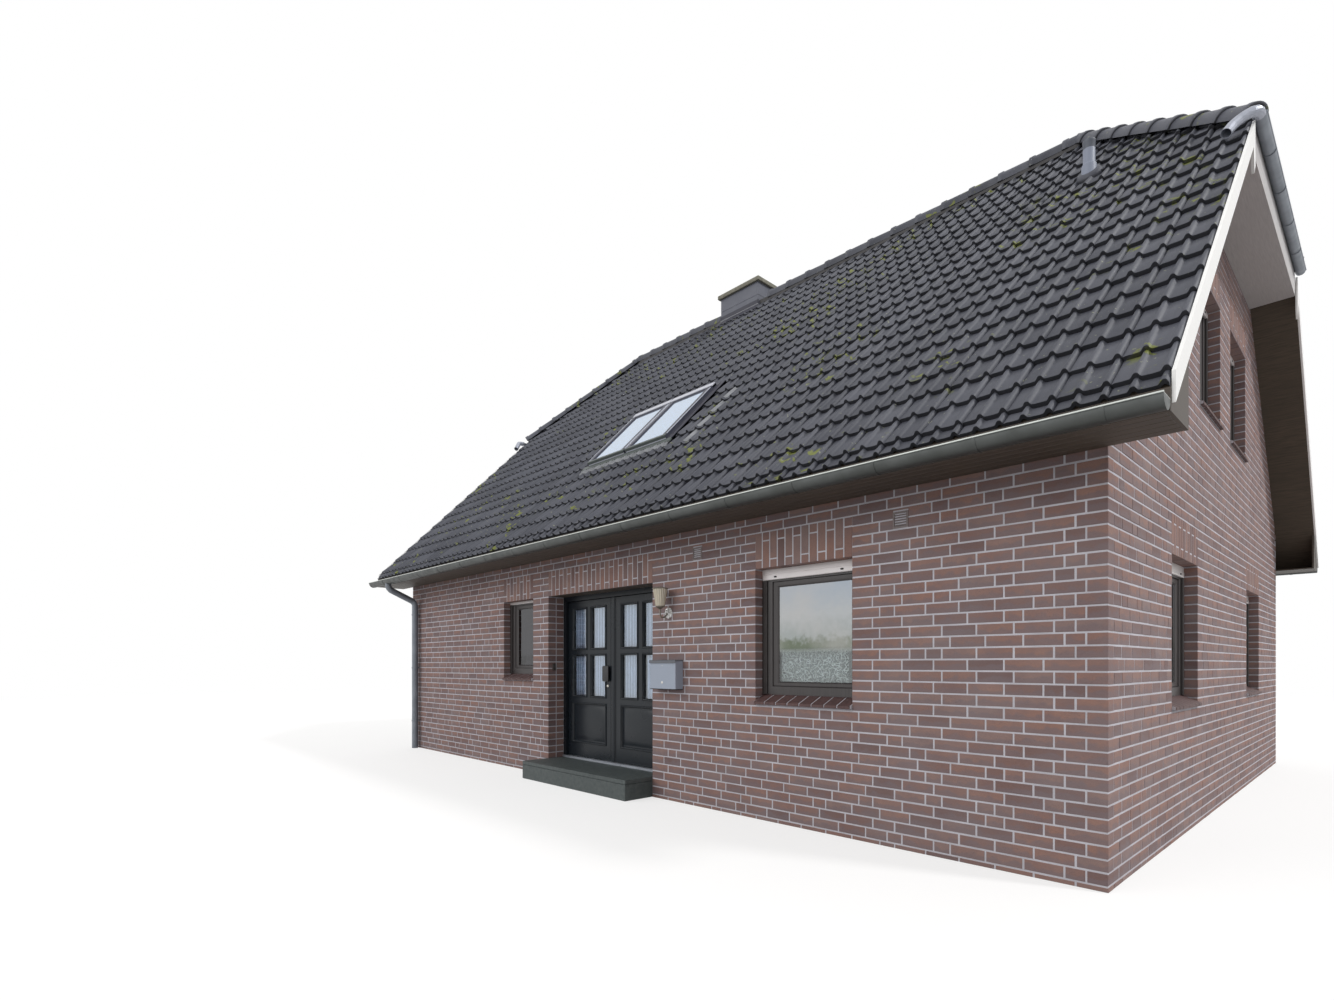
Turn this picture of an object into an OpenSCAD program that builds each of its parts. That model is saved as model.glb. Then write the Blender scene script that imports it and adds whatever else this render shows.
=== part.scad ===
// Detached brick house with a half-hipped tiled roof and a double front door.
// Millimetres. The origin is on the ground at the middle of the house.
// The front looks towards -Y, +X runs to the right along the front, +Z is up.

/* [Walls] */
// Length of the house along the front, over the brickwork
house_w = 10490; // [9000:10:12500]
// Depth of the house, over the brickwork
house_d = 8240; // [7000:10:9500]
// Full thickness of an outer wall
wall_t = 365; // [300:5:450]
// Thickness of the brick leaf, and so the depth of the window reveals
leaf_t = 115; // [90:5:150]
// Top of the ground floor above the ground
floor_z = 240; // [150:5:400]
// Underside of the attic floor above the ground
ceiling_z = 2740; // [2500:10:3000]
// Thickness of the attic floor
attic_floor_t = 200; // [150:10:260]

/* [Roof] */
// Pitch of the two main slopes, in degrees
pitch = 45; // [42:0.5:47]
// Height of the line where the two tiled slopes would meet
ridge_z = 7545; // [7300:5:7800]
// Overhang of the tiles beyond the front and rear walls
eave_out = 490; // [420:5:560]
// Overhang of the tiles beyond the gable walls
verge_out = 400; // [300:5:500]
// Plan length of the half hip, from the end of the ridge to the verge
hip_run = 1710; // [1400:10:2000]
// Drop of the half hip over that length
hip_drop = 1560; // [1300:10:1700]
// Thickness of the tile layer, square to the slope
tile_t = 60; // [45:1:80]
// Thickness of rafters, battens and boarding below the tiles
deck_t = 180; // [140:5:220]
// Length of a tile course that shows, along the slope
tile_gauge = 317; // [300:1:360]
// Length of the lowest tile course that shows, along the slope
tile_first = 106; // [60:1:300]
// Step from one tile course down to the next
tile_step = 28; // [15:1:35]
// Radius of the round ridge and hip tiles, over their wide ends
ridge_r = 112; // [95:1:130]
// Length of a ridge tile that shows
ridge_gauge = 366; // [330:1:400]
// Length of a hip tile that shows
hip_gauge = 330; // [300:1:400]
// Thickness of the ridge and hip tiles
ridge_t = 18; // [14:1:24]

/* [Openings] */
// Underside of the brick lintels above the ground
lintel_z = 2290; // [2200:5:2400]
// Left edge of the front doorway
door_x = -995; // [-1100:5:-900]
// Width of the front doorway
door_w = 2010; // [1900:5:2135]
// Depth of the doorway recess in front of the door frame
door_reveal = 235; // [200:5:250]
// Left edge of the small front window
small_x = -2120; // [-2200:5:-2000]
// Width of the small front window
small_w = 760; // [700:5:800]
// Top of the brick sill of the small front window
small_sill_z = 1290; // [1200:5:1400]
// Left edge of the large front window
large_x = 2435; // [2300:5:2500]
// Width of the large windows
large_w = 1010; // [900:5:1100]
// Top of the brick sill of the large windows
large_sill_z = 1140; // [1000:5:1200]
// Height of the brick sills at the face of the wall
sill_h = 95; // [70:1:110]
// Height of the roller shutter's box that shows over a large window
shutter_h = 100; // [90:5:150]
// Height of the strip that shows over the small window
shutter_strip_h = 36; // [25:1:60]

/* [Door] */
// Face width of the door frame
door_frame_w = 60; // [50:1:80]
// Depth of the door frame
door_frame_d = 95; // [70:1:110]
// Thickness of the two door leaves
door_leaf_t = 60; // [50:1:65]
// Width of the moulding that covers the joint between the leaves
meeting_w = 85; // [70:1:100]
// Gap between the leaves, and between a leaf and what it must clear
door_gap = 12; // [10:1:14]
// Height of the top of the step above the ground
step_z = 215; // [150:5:230]
// How far the step stands out from the wall
step_out = 380; // [300:10:450]

/* [Rainwater] */
// Outer radius of the half-round gutters of the eaves
gutter_r = 76; // [65:1:90]
// Outer radius of the smaller gutters of the half hips
hip_gutter_r = 45; // [40:1:60]
// Height of the rim of the half hips' gutters
hip_gutter_z = 5913; // [5880:1:5930]
// Height of the rim of the front and rear gutters
gutter_z = 2820; // [2790:5:2840]
// Radius of the downpipes
downpipe_r = 50; // [40:1:60]
// Distance from the house end to the middle of the front downpipe
downpipe_in = 270; // [200:10:400]

/* [Verges] */
// Thickness of the overhang at the verges, square to the slope, over the tiles
verge_d = 135; // [120:1:200]
// How far the tiles' edge hangs over the outside of the barge board
tile_edge_t = 15; // [10:1:20]
// Height of that edge, square to the slope
tile_edge_h = 45; // [35:1:60]
// Half length of the box under a half hip, and where the barge boards start
hip_box_y = 1620; // [1600:5:1640]

/* [Roof fittings] */
// Left edge of the double roof window
roof_window_x = -1020; // [-1200:5:-900]
// Width of the double roof window
roof_window_w = 1550; // [1550:10:1700]
// Distance up the slope from the tiles' lower edge to the roof window
roof_window_s = 1640; // [1500:5:1800]
// Length of the roof window up the slope
roof_window_l = 1235; // [1100:5:1400]
// Left side of the chimney
chimney_x = -1650; // [-2000:10:0]
// Width of the chimney along the ridge
chimney_w = 830; // [700:10:1000]
// Depth of the chimney across the ridge
chimney_d = 600; // [450:10:800]
// Distance from the ridge forward to the chimney's front
chimney_front = 130; // [50:5:250]
// Top of the chimney's cap
chimney_top_z = 7895; // [7800:5:8200]
// Thickness of the chimney's cap
chimney_cap_t = 90; // [60:1:120]
// Place of the vent pipe along the house
vent_x = 4319; // [4000:10:4400]
// Distance of the vent pipe from the ridge, in plan
vent_y = 1135; // [1000:10:1300]

/* [Hidden] */
$fn = 48;

half_w = house_w / 2;
half_d = house_d / 2;
slope = tan(pitch);
hip_slope = hip_drop / hip_run;
hip_pitch = atan(hip_slope);
verge_x = half_w + verge_out;
ridge_x = verge_x - hip_run;
hip_y = hip_drop / slope;
hip_lip = 18;
eave_y = half_d + eave_out;
eave_z = ridge_z - eave_y * slope;

// Vertical measures through a layer that is a thickness square to its slope
tile_v = tile_t / cos(pitch);
lay_gap = 1;
roof_v = (tile_t + deck_t) / cos(pitch);
hip_tile_v = tile_t / cos(hip_pitch);
hip_roof_v = (tile_t + deck_t) / cos(hip_pitch);
verge_v = verge_d / cos(pitch);

// Where the walls carry the roof
plate_in = 100;
wall_top_z = ridge_z - roof_v - (half_d - plate_in) * slope;
gable_top_z = ridge_z - hip_roof_v - (half_w - plate_in - ridge_x) * hip_slope;
gable_top_y = (ridge_z - roof_v - gable_top_z) / slope;
leaf_top_y = (ridge_z - verge_v - gable_top_z) / slope;
attic_floor_z = ceiling_z + attic_floor_t;

// Roof fittings
chimney_s = (eave_y - chimney_front) / cos(pitch);
vent_r = 68;

// Eave boxes
soffit_z = 2760;
board_t = 20;
fascia_y = half_d + 450;
rafter_y = fascia_y - board_t;

function roof_z(y) = ridge_z - abs(y) * slope;
function hip_z(x) = ridge_z - (abs(x) - ridge_x) * hip_slope;
function hip_line_y(x) = hip_y * (x - ridge_x) / hip_run;

brick_c = [0.47, 0.30, 0.27];
brick_sill_c = [0.36, 0.20, 0.18];
tile_c = [0.20, 0.19, 0.20];
wood_dark_c = [0.13, 0.10, 0.09];
zinc_c = [0.52, 0.54, 0.55];
door_c = [0.10, 0.12, 0.14];
glass_c = [0.65, 0.75, 0.80, 0.35];
cream_c = [0.85, 0.83, 0.76];

// Windows as [middle along the wall, width, sill height, head height, height of the shutter's box]
attic_sill_z = attic_floor_z + 900;
attic_head_z = attic_sill_z + lintel_z - large_sill_z;
front_windows = [
    [small_x + small_w / 2, small_w, small_sill_z, lintel_z, shutter_strip_h],
    [large_x + large_w / 2, large_w, large_sill_z, lintel_z, shutter_h]];
rear_windows = [for (x = [-3700, -1250, 1250, 3700]) [x, large_w, large_sill_z, lintel_z, shutter_h]];
gable_windows = concat(
    [for (y = [-1900, 1900]) [y, large_w, large_sill_z, lintel_z, shutter_h]],
    [for (y = [-800, 800]) [y, large_w, attic_sill_z, attic_head_z, shutter_h]]);

// Copies a piece to the mirrored side of the house
module both_x() { children(); mirror([1, 0, 0]) children(); }
module both_y() { children(); mirror([0, 1, 0]) children(); }

// Places what is drawn on the front wall, with +Y into the wall, on each wall
module on_front() { translate([0, -half_d, 0]) children(); }
module on_rear() { translate([0, half_d, 0]) rotate(180) children(); }
module on_left() { translate([-half_w, 0, 0]) rotate(-90) children(); }
module on_right() { translate([half_w, 0, 0]) rotate(90) children(); }

// Places what is drawn on the front slope: X along the eave, Y up the slope, Z square to it
module on_front_slope() { translate([0, -eave_y, eave_z]) rotate([pitch, 0, 0]) children(); }

// A box from its low corner to its high corner
module block(low, high) { translate(low) cube(high - low); }

// Extrudes an outline drawn in Y and Z along X
module along_x(x0, x1) {
    translate([x0, 0, 0]) rotate([90, 0, 90]) linear_extrude(x1 - x0) children();
}

// Extrudes an outline drawn in X and Z along Y
module along_y(y0, y1) {
    translate([0, y1, 0]) rotate([90, 0, 0]) linear_extrude(y1 - y0) children();
}

// The holes of a list of windows, through a wall whose face is at Y = 0
module window_holes(list) {
    for (w = list)
        block([w[0] - w[1] / 2, -1, w[2] - sill_h], [w[0] + w[1] / 2, wall_t + 1, w[3]]);
}

// The room that the attic floor takes in the walls
module floor_pocket() {
    block([-half_w + leaf_t, -half_d + leaf_t, ceiling_z],
        [half_w - leaf_t, half_d - leaf_t, attic_floor_z]);
}

module ground_floor() {
    color([0.62, 0.60, 0.56]) union() {
        block([-half_w + wall_t, -half_d + wall_t, 0], [half_w - wall_t, half_d - wall_t, floor_z]);
        block([door_x, -half_d + door_reveal, 0], [door_x + door_w, -half_d + wall_t + 1, step_z]);
    }
}

module attic_floor() { color([0.66, 0.62, 0.55]) floor_pocket(); }

module front_wall_part(x0, x1, z0) {
    color(brick_c) difference() {
        block([x0, -half_d, z0], [x1, -half_d + wall_t, wall_top_z]);
        on_front() window_holes(front_windows);
        floor_pocket();
    }
}
module front_wall_left() { front_wall_part(-half_w, door_x, 0); }
module front_wall_right() { front_wall_part(door_x + door_w, half_w, 0); }
module front_wall_over_door() { front_wall_part(door_x, door_x + door_w, lintel_z); }

module rear_wall() {
    color(brick_c) difference() {
        block([-half_w, half_d - wall_t, 0], [half_w, half_d, wall_top_z]);
        on_rear() window_holes(rear_windows);
        floor_pocket();
    }
}

// The wall between the front and rear walls, with the gable on top of them
module gable_wall() {
    inner_y = half_d - wall_t;
    top_y = half_d - plate_in;
    color(brick_c) difference() {
        union() {
            rotate([90, 0, 90]) linear_extrude(wall_t)
                polygon([[-inner_y, 0], [inner_y, 0], [inner_y, wall_top_z], [top_y, wall_top_z],
                    [gable_top_y, gable_top_z], [-gable_top_y, gable_top_z],
                    [-top_y, wall_top_z], [-inner_y, wall_top_z]]);
            rotate([90, 0, 90]) linear_extrude(leaf_t) polygon([
                [-half_d, wall_top_z], [half_d, wall_top_z], [half_d, roof_z(half_d) - verge_v],
                [leaf_top_y, gable_top_z], [-leaf_top_y, gable_top_z],
                [-half_d, roof_z(half_d) - verge_v]]);
        }
        rotate(-90) window_holes(gable_windows);
    }
}
module left_gable_wall() {
    difference() {
        translate([-half_w, 0, 0]) gable_wall();
        floor_pocket();
    }
}
module right_gable_wall() { mirror([1, 0, 0]) left_gable_wall(); }

// Plan outlines of the slopes, cut along the hips
module main_plan(x_out, y_out) {
    hip_end_y = -hip_line_y(x_out);
    polygon([[-x_out, -y_out], [x_out, -y_out], [x_out, hip_end_y], [ridge_x, 0],
        [-ridge_x, 0], [-x_out, hip_end_y]]);
}
module hip_plan(x_out) {
    polygon([[ridge_x, 0], [verge_x, -hip_y], [x_out, -hip_y], [x_out, hip_y], [verge_x, hip_y]]);
}

// Full depth over the house, and a thin overhang at the verges
module main_deck() {
    top_v = tile_v + lay_gap;
    inner_x = half_w - leaf_t;
    intersection() {
        linear_extrude(ridge_z) main_plan(verge_x, rafter_y);
        union() {
            along_x(-inner_x, inner_x) polygon([
                [-rafter_y, roof_z(rafter_y) - top_v], [0, ridge_z - top_v], [0, ridge_z - roof_v],
                [-half_d + plate_in, wall_top_z], [-half_d, wall_top_z],
                [-half_d, roof_z(half_d) - roof_v],
                [-half_d - (roof_z(half_d) - roof_v - soffit_z - board_t) / slope, soffit_z + board_t],
                [-rafter_y, soffit_z + board_t]]);
            along_x(-verge_x, verge_x) polygon([
                [-rafter_y, roof_z(rafter_y) - top_v], [0, ridge_z - top_v],
                [0, ridge_z - verge_v], [-rafter_y, roof_z(rafter_y) - verge_v]]);
        }
    }
}
module roof_window_hole() {
    on_front_slope() block([roof_window_x, roof_window_s, -600],
        [roof_window_x + roof_window_w, roof_window_s + roof_window_l, 200]);
}
module chimney_hole() {
    block([chimney_x, -chimney_front, 0], [chimney_x + chimney_w, -chimney_front + chimney_d, 9000]);
}
module vent_hole() { translate([vent_x, -vent_y, 0]) cylinder(r = vent_r, h = 9000, $fn = 32); }

module front_roof_deck() {
    color(wood_dark_c) difference() {
        main_deck();
        hip_boxes();
        roof_window_hole();
        chimney_hole();
        vent_hole();
    }
}
module rear_roof_deck() {
    color(wood_dark_c) difference() {
        mirror([0, 1, 0]) main_deck();
        hip_boxes();
        chimney_hole();
    }
}

// Outline of a slope's tiles: each course lies on the one below and steps down at its lower edge.
// The underside is flat at a depth, or it steps as well where only the edge of the tiles is wanted.
function course_s(i, first) = i == 0 ? 0 : first + (i - 1) * tile_gauge;
module tile_courses(length, first, depth, stepped) {
    courses = 1 + ceil((length - first) / tile_gauge);
    first_step = tile_step * (1 - first / tile_gauge);
    top = [for (i = [0 : courses - 1], k = [0, 1])
        [min(length, course_s(i + k, first)), k == 1 ? -tile_step : i == 0 ? -first_step : 0]];
    polygon(concat(top, stepped
        ? [for (i = [len(top) - 1 : -1 : 0]) top[i] - [0, depth]]
        : [[length, -depth], [0, -depth]]));
}
module main_courses(x0, x1, depth, stepped) {
    length = eave_y / cos(pitch) + tile_t;
    translate([x0, -eave_y, eave_z]) rotate([90, 0, 90]) linear_extrude(x1 - x0)
        rotate(pitch) tile_courses(length, tile_first, depth, stepped);
}
module main_tiles() {
    edge_x = verge_x + board_t;
    edge_end_y = 1700;
    intersection() {
        linear_extrude(ridge_z) main_plan(verge_x, eave_y);
        main_courses(-verge_x, verge_x, tile_t, false);
    }
    both_x() intersection() {
        block([verge_x, -eave_y, 0], [edge_x + tile_edge_t, -edge_end_y, ridge_z]);
        union() {
            main_courses(verge_x, edge_x, tile_t, false);
            main_courses(edge_x, edge_x + tile_edge_t, tile_edge_h, true);
        }
    }
}
module front_roof_tiles() {
    color(tile_c) difference() {
        main_tiles();
        roof_window_hole();
        chimney_hole();
        vent_hole();
    }
}
module rear_roof_tiles() {
    color(tile_c) difference() {
        mirror([0, 1, 0]) main_tiles();
        chimney_hole();
    }
}

hip_board_x = verge_x - board_t;
module hip_deck() {
    intersection() {
        linear_extrude(ridge_z) hip_plan(verge_x);
        along_y(-hip_y, hip_y) polygon([
            [ridge_x, ridge_z - hip_tile_v - lay_gap],
            [hip_board_x, hip_z(hip_board_x) - hip_tile_v - lay_gap],
            [hip_board_x, hip_z(verge_x) - hip_roof_v], [half_w, hip_z(half_w) - hip_roof_v],
            [half_w, gable_top_z], [half_w - plate_in, gable_top_z], [ridge_x, ridge_z - hip_roof_v]]);
    }
}
module hip_roof_decks() { color(wood_dark_c) both_x() hip_deck(); }

module hip_tiles_right() {
    lip_gap = 4;
    out_x = verge_x + hip_lip;
    length = (out_x - ridge_x) / cos(hip_pitch);
    difference() {
        intersection() {
            linear_extrude(ridge_z) hip_plan(out_x);
            translate([out_x, hip_y, hip_z(out_x)]) rotate([90, 0, 0]) linear_extrude(2 * hip_y)
                mirror([1, 0]) rotate(hip_pitch)
                    tile_courses(length + tile_t, tile_gauge, tile_t, false);
        }
        block([verge_x, -hip_y - 1, 0], [out_x + 1, hip_y + 1, hip_gutter_z + lip_gap]);
    }
}
module hip_roof_tiles() { color(tile_c) both_x() hip_tiles_right(); }

// Outline of a capping: an arch of flat facets on two short skirts
arch_sides = 8;
function cap_arch(r) = [for (i = [0 : arch_sides]) r * [cos(180 * i / arch_sides), sin(180 * i / arch_sides)]];
bell_t = 10;
module cap_profile(r, skirt) {
    inner_r = ridge_r - bell_t - ridge_t;
    difference() {
        polygon(concat(cap_arch(r), [[-r, -skirt], [r, -skirt]]));
        polygon(concat(cap_arch(inner_r), [[-inner_r, -skirt - 1], [inner_r, -skirt - 1]]));
    }
}
// A row of cappings from point a up or along to point b, each wide at the end towards a
module cap_run(a, b, gauge, skirt) {
    bell_l = 62;
    d = b - a;
    length = norm(d);
    translate(a) rotate([0, -asin(d.z / length), atan2(d.y, d.x)]) rotate([90, 0, 90]) {
        linear_extrude(length) cap_profile(ridge_r - bell_t, skirt);
        for (s = [0 : gauge : length - bell_l])
            translate([0, 0, s]) linear_extrude(bell_l) cap_profile(ridge_r, skirt);
    }
}
ridge_drop = 35;
module ridge_tiles() {
    ridge_skirt = 55;
    hip_skirt = 12;
    color(tile_c) difference() {
        union() {
            cap_run([-ridge_x, 0, ridge_z - ridge_drop], [ridge_x, 0, ridge_z - ridge_drop],
                ridge_gauge, ridge_skirt);
            both_x() both_y()
                cap_run([verge_x, -hip_y, hip_z(verge_x) - ridge_drop],
                    [ridge_x, 0, ridge_z - ridge_drop], hip_gauge, hip_skirt);
        }
        chimney_hole();
    }
}

// Boxed eaves: a soffit, a fascia that carries the gutter and closed ends
module eave_soffit() {
    end_z = soffit_z + board_t;
    block([-verge_x, -fascia_y, soffit_z], [verge_x, -half_d, end_z]);
    block([-verge_x, -fascia_y, soffit_z], [verge_x, -rafter_y, roof_z(fascia_y) - tile_v - lay_gap]);
    both_x() along_x(verge_x - board_t, verge_x) polygon([
        [-rafter_y - 1, end_z - 1], [-half_d, end_z - 1],
        [-half_d, roof_z(half_d) - verge_v - lay_gap],
        [-rafter_y, roof_z(rafter_y) - verge_v - lay_gap],
        [-rafter_y - 1, roof_z(rafter_y) - verge_v - lay_gap]]);
}
module eave_soffits() { color(wood_dark_c) both_y() eave_soffit(); }

// Box under the eave of a half hip: fascia, soffit and two ends
module hip_box() {
    z0 = hip_z(verge_x) - hip_roof_v - board_t;
    z1 = hip_z(verge_x) - hip_tile_v - lay_gap;
    side_z = roof_z(hip_box_y) - tile_v - lay_gap;
    top_y = (ridge_z - tile_v - lay_gap - z1) / slope;
    end_z = roof_z(hip_box_y) - verge_v - lay_gap;
    along_x(hip_board_x, verge_x) polygon([[-hip_box_y, z0], [hip_box_y, z0], [hip_box_y, side_z],
        [top_y, z1], [-top_y, z1], [-hip_box_y, side_z]]);
    block([half_w, -hip_box_y, z0], [verge_x, hip_box_y, z0 + board_t]);
    both_y() block([half_w, -hip_box_y, z0], [verge_x, -hip_box_y + board_t, end_z]);
}
module hip_boxes() { both_x() hip_box(); }
module hip_soffits() { color([0.35, 0.34, 0.33]) hip_boxes(); }

// Boards along the verges, under the edge of the tiles, with a hanging point at the upper end
module barge_board() {
    top_y = hip_box_y + 40;
    nose_w = 95;
    nose_h = 150;
    tip_h = 90;
    lower_z = roof_z(top_y + nose_w) - verge_v;
    along_x(verge_x, verge_x + board_t) polygon([
        [-rafter_y, roof_z(rafter_y) - tile_v - lay_gap], [-top_y, roof_z(top_y) - tile_v - lay_gap],
        [-top_y, lower_z - nose_h + tip_h / 2], [-top_y - nose_w * 0.6, lower_z - nose_h - tip_h / 2],
        [-top_y - nose_w, lower_z], [-rafter_y, roof_z(rafter_y) - verge_v]]);
}
module barge_boards() { color("white") both_x() both_y() barge_board(); }

// A half-round gutter with closed ends, its rim at Z = 0, from X = 0 to a length
gutter_t = 4;
bead_r = 8;
bead_in = 2;
module half_disc(r) {
    difference() {
        circle(r);
        translate([-2 * r, 0]) square([4 * r, 2 * r]);
    }
}
module gutter(length, r) {
    rotate([90, 0, 90]) linear_extrude(length) difference() {
        half_disc(r);
        circle(r - gutter_t);
    }
    for (x = [0, length - gutter_t])
        translate([x, 0, 0]) rotate([90, 0, 90]) linear_extrude(gutter_t) half_disc(r);
    translate([0, -r + bead_in, 0]) rotate([0, 90, 0]) cylinder(r = bead_r, h = length, $fn = 16);
}
gutter_y = fascia_y + gutter_r;
// Straps that carry a gutter: the place of one of them, their pitch and their section
strap_x = 486;
strap_pitch = 695;
strap_w = 25;
strap_t = 3;
module gutter_strap(r) {
    rotate([90, 0, 90]) linear_extrude(strap_w) difference() {
        half_disc(r + strap_t);
        circle(r - gutter_t / 2);
        translate([r, -2 * r]) square(4 * r);
    }
}
module front_gutter() {
    color(zinc_c) {
        translate([-verge_x, -gutter_y, gutter_z]) gutter(2 * verge_x, gutter_r);
        for (x = [strap_x - 8 * strap_pitch : strap_pitch : verge_x - 2 * strap_w])
            translate([x, -gutter_y, gutter_z]) gutter_strap(gutter_r);
    }
}
module rear_gutter() { mirror([0, 1, 0]) front_gutter(); }

hip_gutter_x = verge_x + hip_gutter_r;
hip_gutter_end_y = 1645;
module hip_gutter() {
    translate([hip_gutter_x, -hip_gutter_end_y, hip_gutter_z]) rotate(90)
        gutter(2 * hip_gutter_end_y, hip_gutter_r);
}
module hip_gutters() { color(zinc_c) both_x() hip_gutter(); }

// A bent tube that leads the half hip's water round the verge and onto the front slope.
// Its middle line is given from the near end of the gutter's rim.
spout_r = 41;
spout_wall = 4;
spout_sides = 12;
spout_path = [[0, -5, -13], [0, -45, -16], [-10, -90, -22], [-36, -130, -38], [-72, -160, -62],
    [-112, -193, -98], [-148, -233, -145], [-178, -281, -211]];
function unit(v) = v / norm(v);
function path_dir(path, i) = unit(path[min(len(path) - 1, i + 1)] - path[max(0, i - 1)]);
function ring_at(c, dir, r, n) = let (u = unit(cross(dir, [1, 0, 0])), v = cross(u, dir))
    [for (k = [0 : n - 1]) c + r * (cos(360 * k / n) * u + sin(360 * k / n) * v)];
// The triangles between rings a and b of n points, which start at points a0 and b0
function skin(a0, b0, n) = [for (k = [0 : n - 1])
    each [[a0 + k, a0 + (k + 1) % n, b0 + k], [a0 + (k + 1) % n, b0 + (k + 1) % n, b0 + k]]];
module bent_tube(path, r, wall, n) {
    m = len(path);
    rings = [for (q = [r, r - wall], i = [0 : m - 1]) each ring_at(path[i], path_dir(path, i), q, n)];
    inner = m * n;
    polyhedron(rings, concat(
        [for (i = [0 : m - 2]) each skin(i * n, (i + 1) * n, n)],
        [for (i = [0 : m - 2]) each skin(inner + (i + 1) * n, inner + i * n, n)],
        skin(inner, 0, n),
        skin((m - 1) * n, inner + (m - 1) * n, n)));
}
module bent_rod(path, r, n) {
    m = len(path);
    polyhedron([for (i = [0 : m - 1]) each ring_at(path[i], path_dir(path, i), r, n)], concat(
        [for (i = [0 : m - 2]) each skin(i * n, (i + 1) * n, n)],
        [[for (k = [n - 1 : -1 : 0]) k], [for (k = [0 : n - 1]) (m - 1) * n + k]]));
}
module hip_spout() {
    translate([hip_gutter_x, -hip_gutter_end_y, hip_gutter_z])
        bent_tube(spout_path, spout_r, spout_wall, spout_sides);
}
module hip_spouts() { color(zinc_c) both_x() hip_spout(); }

// A downpipe whose neck bends from the gutter's underside back to the wall, cut to the gutter
module downpipe() {
    x = -half_w + downpipe_in;
    wall_y = -half_d - downpipe_r - 25;
    top = gutter_z - gutter_r / 2;
    run = gutter_y + wall_y;
    neck = [[-run, 0], [-run, -65], [-run + 14, -98], [-run + 42, -128], [-42, -290], [-14, -320],
        [0, -353]];
    path = concat([for (q = neck) [x, wall_y + q[0], top + q[1]]], [[x, wall_y, 0]]);
    difference() {
        bent_rod(path, downpipe_r, 16);
        translate([-half_w, -gutter_y, gutter_z]) rotate([0, 90, 0])
            cylinder(r = gutter_r + 0.3, h = 2 * downpipe_in);
    }
}
// Clamps that hold a downpipe to the wall
clamp_zs = [450, 1350, 2250];
clamp_h = 30;
module pipe_clamps() {
    x = -half_w + downpipe_in;
    wall_y = -half_d - downpipe_r - 25;
    for (z = clamp_zs) {
        translate([x, wall_y, z]) cylinder(r = downpipe_r + 4, h = clamp_h, $fn = 32);
        block([x - 10, wall_y, z + 5], [x + 10, -half_d, z + clamp_h - 5]);
    }
}
module pipe_between(a, b, r, sides) {
    d = b - a;
    translate(a) rotate([0, acos(d.z / norm(d)), atan2(d.y, d.x)])
        cylinder(r = r, h = norm(d), $fn = sides);
}
module downpipes() {
    color(zinc_c) for (turn = [0, 180]) rotate(turn) {
        downpipe();
        pipe_clamps();
    }
}

// The chimney is clad with boards that meet in a shadow joint. One flue runs down it.
clad_joint_z = 7580;
clad_rise = 300;
clad_joint = 4;
flue_w = 220;
flue_depth = 900;
chimney_back = chimney_d - chimney_front;
chimney_right = chimney_x + chimney_w;
module flue() {
    x = chimney_x + chimney_w / 2;
    y = (chimney_back - chimney_front) / 2;
    block([x - flue_w / 2, y - flue_w / 2, chimney_top_z - flue_depth],
        [x + flue_w / 2, y + flue_w / 2, chimney_top_z + 1]);
}
module chimney_stack() {
    color([0.30, 0.32, 0.37]) difference() {
        block([chimney_x, -chimney_front, attic_floor_z],
            [chimney_right, chimney_back, chimney_top_z - chimney_cap_t]);
        for (z = [clad_joint_z - clad_rise, clad_joint_z]) difference() {
            block([chimney_x - 1, -chimney_front - 1, z],
                [chimney_right + 1, chimney_back + 1, z + clad_joint]);
            block([chimney_x + clad_joint, -chimney_front + clad_joint, z - 1],
                [chimney_right - clad_joint, chimney_back - clad_joint, z + clad_joint + 1]);
        }
        flue();
    }
}
// A slab whose top falls to all sides from the mouth of the flue
module chimney_cap() {
    over = 40;
    fall = 25;
    mouth = flue_w + 80;
    low = [chimney_x - over, -chimney_front - over, chimney_top_z - chimney_cap_t];
    size = [chimney_w + 2 * over, chimney_d + 2 * over];
    color([0.62, 0.60, 0.52]) difference() {
        hull() {
            translate(low) cube([size.x, size.y, chimney_cap_t - fall]);
            translate(low + [(size.x - mouth) / 2, (size.y - mouth) / 2, 0])
                cube([mouth, mouth, chimney_cap_t]);
        }
        flue();
    }
}

// Sheet metal round the roof window and at the chimney's foot
sheet_t = 6;
window_apron = 185;
module window_flashing() {
    side = 90;
    on_front_slope() difference() {
        block([roof_window_x - side, roof_window_s - window_apron, 0],
            [roof_window_x + roof_window_w + side, roof_window_s + roof_window_l + side, 2 * sheet_t]);
        block([roof_window_x, roof_window_s, -1],
            [roof_window_x + roof_window_w, roof_window_s + roof_window_l, 3 * sheet_t]);
    }
}
chimney_apron = 145;
chimney_upstand = 85;
// A strip against the chimney whose edges follow the slope between two distances from the ridge
module chimney_side(x, y0, y1) {
    along_x(x, x + sheet_t) polygon([[y0, roof_z(y0) + 1], [y1, roof_z(y1) + 1],
        [y1, roof_z(y1) + chimney_upstand], [y0, roof_z(y0) + chimney_upstand]]);
}
module chimney_flashing() {
    side = 55;
    ridge_clear = ridge_r + 3;
    front_y = -chimney_front;
    on_front_slope() block([chimney_x - side, chimney_s - chimney_apron, 0],
        [chimney_right + side, chimney_s, sheet_t]);
    back_s = (eave_y - chimney_back) / cos(pitch);
    rotate(180) on_front_slope()
        block([-chimney_right - side, back_s - chimney_apron, 0], [-chimney_x + side, back_s, sheet_t]);
    block([chimney_x - sheet_t, front_y - sheet_t, roof_z(front_y) + 1],
        [chimney_right + sheet_t, front_y, roof_z(front_y) + chimney_upstand]);
    block([chimney_x - sheet_t, chimney_back, roof_z(chimney_back) + 1],
        [chimney_right + sheet_t, chimney_back + sheet_t, roof_z(chimney_back) + chimney_upstand]);
    for (x = [chimney_x - sheet_t, chimney_right]) {
        chimney_side(x, front_y - sheet_t, -ridge_clear);
        chimney_side(x, ridge_clear, chimney_back + sheet_t);
    }
}
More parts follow.
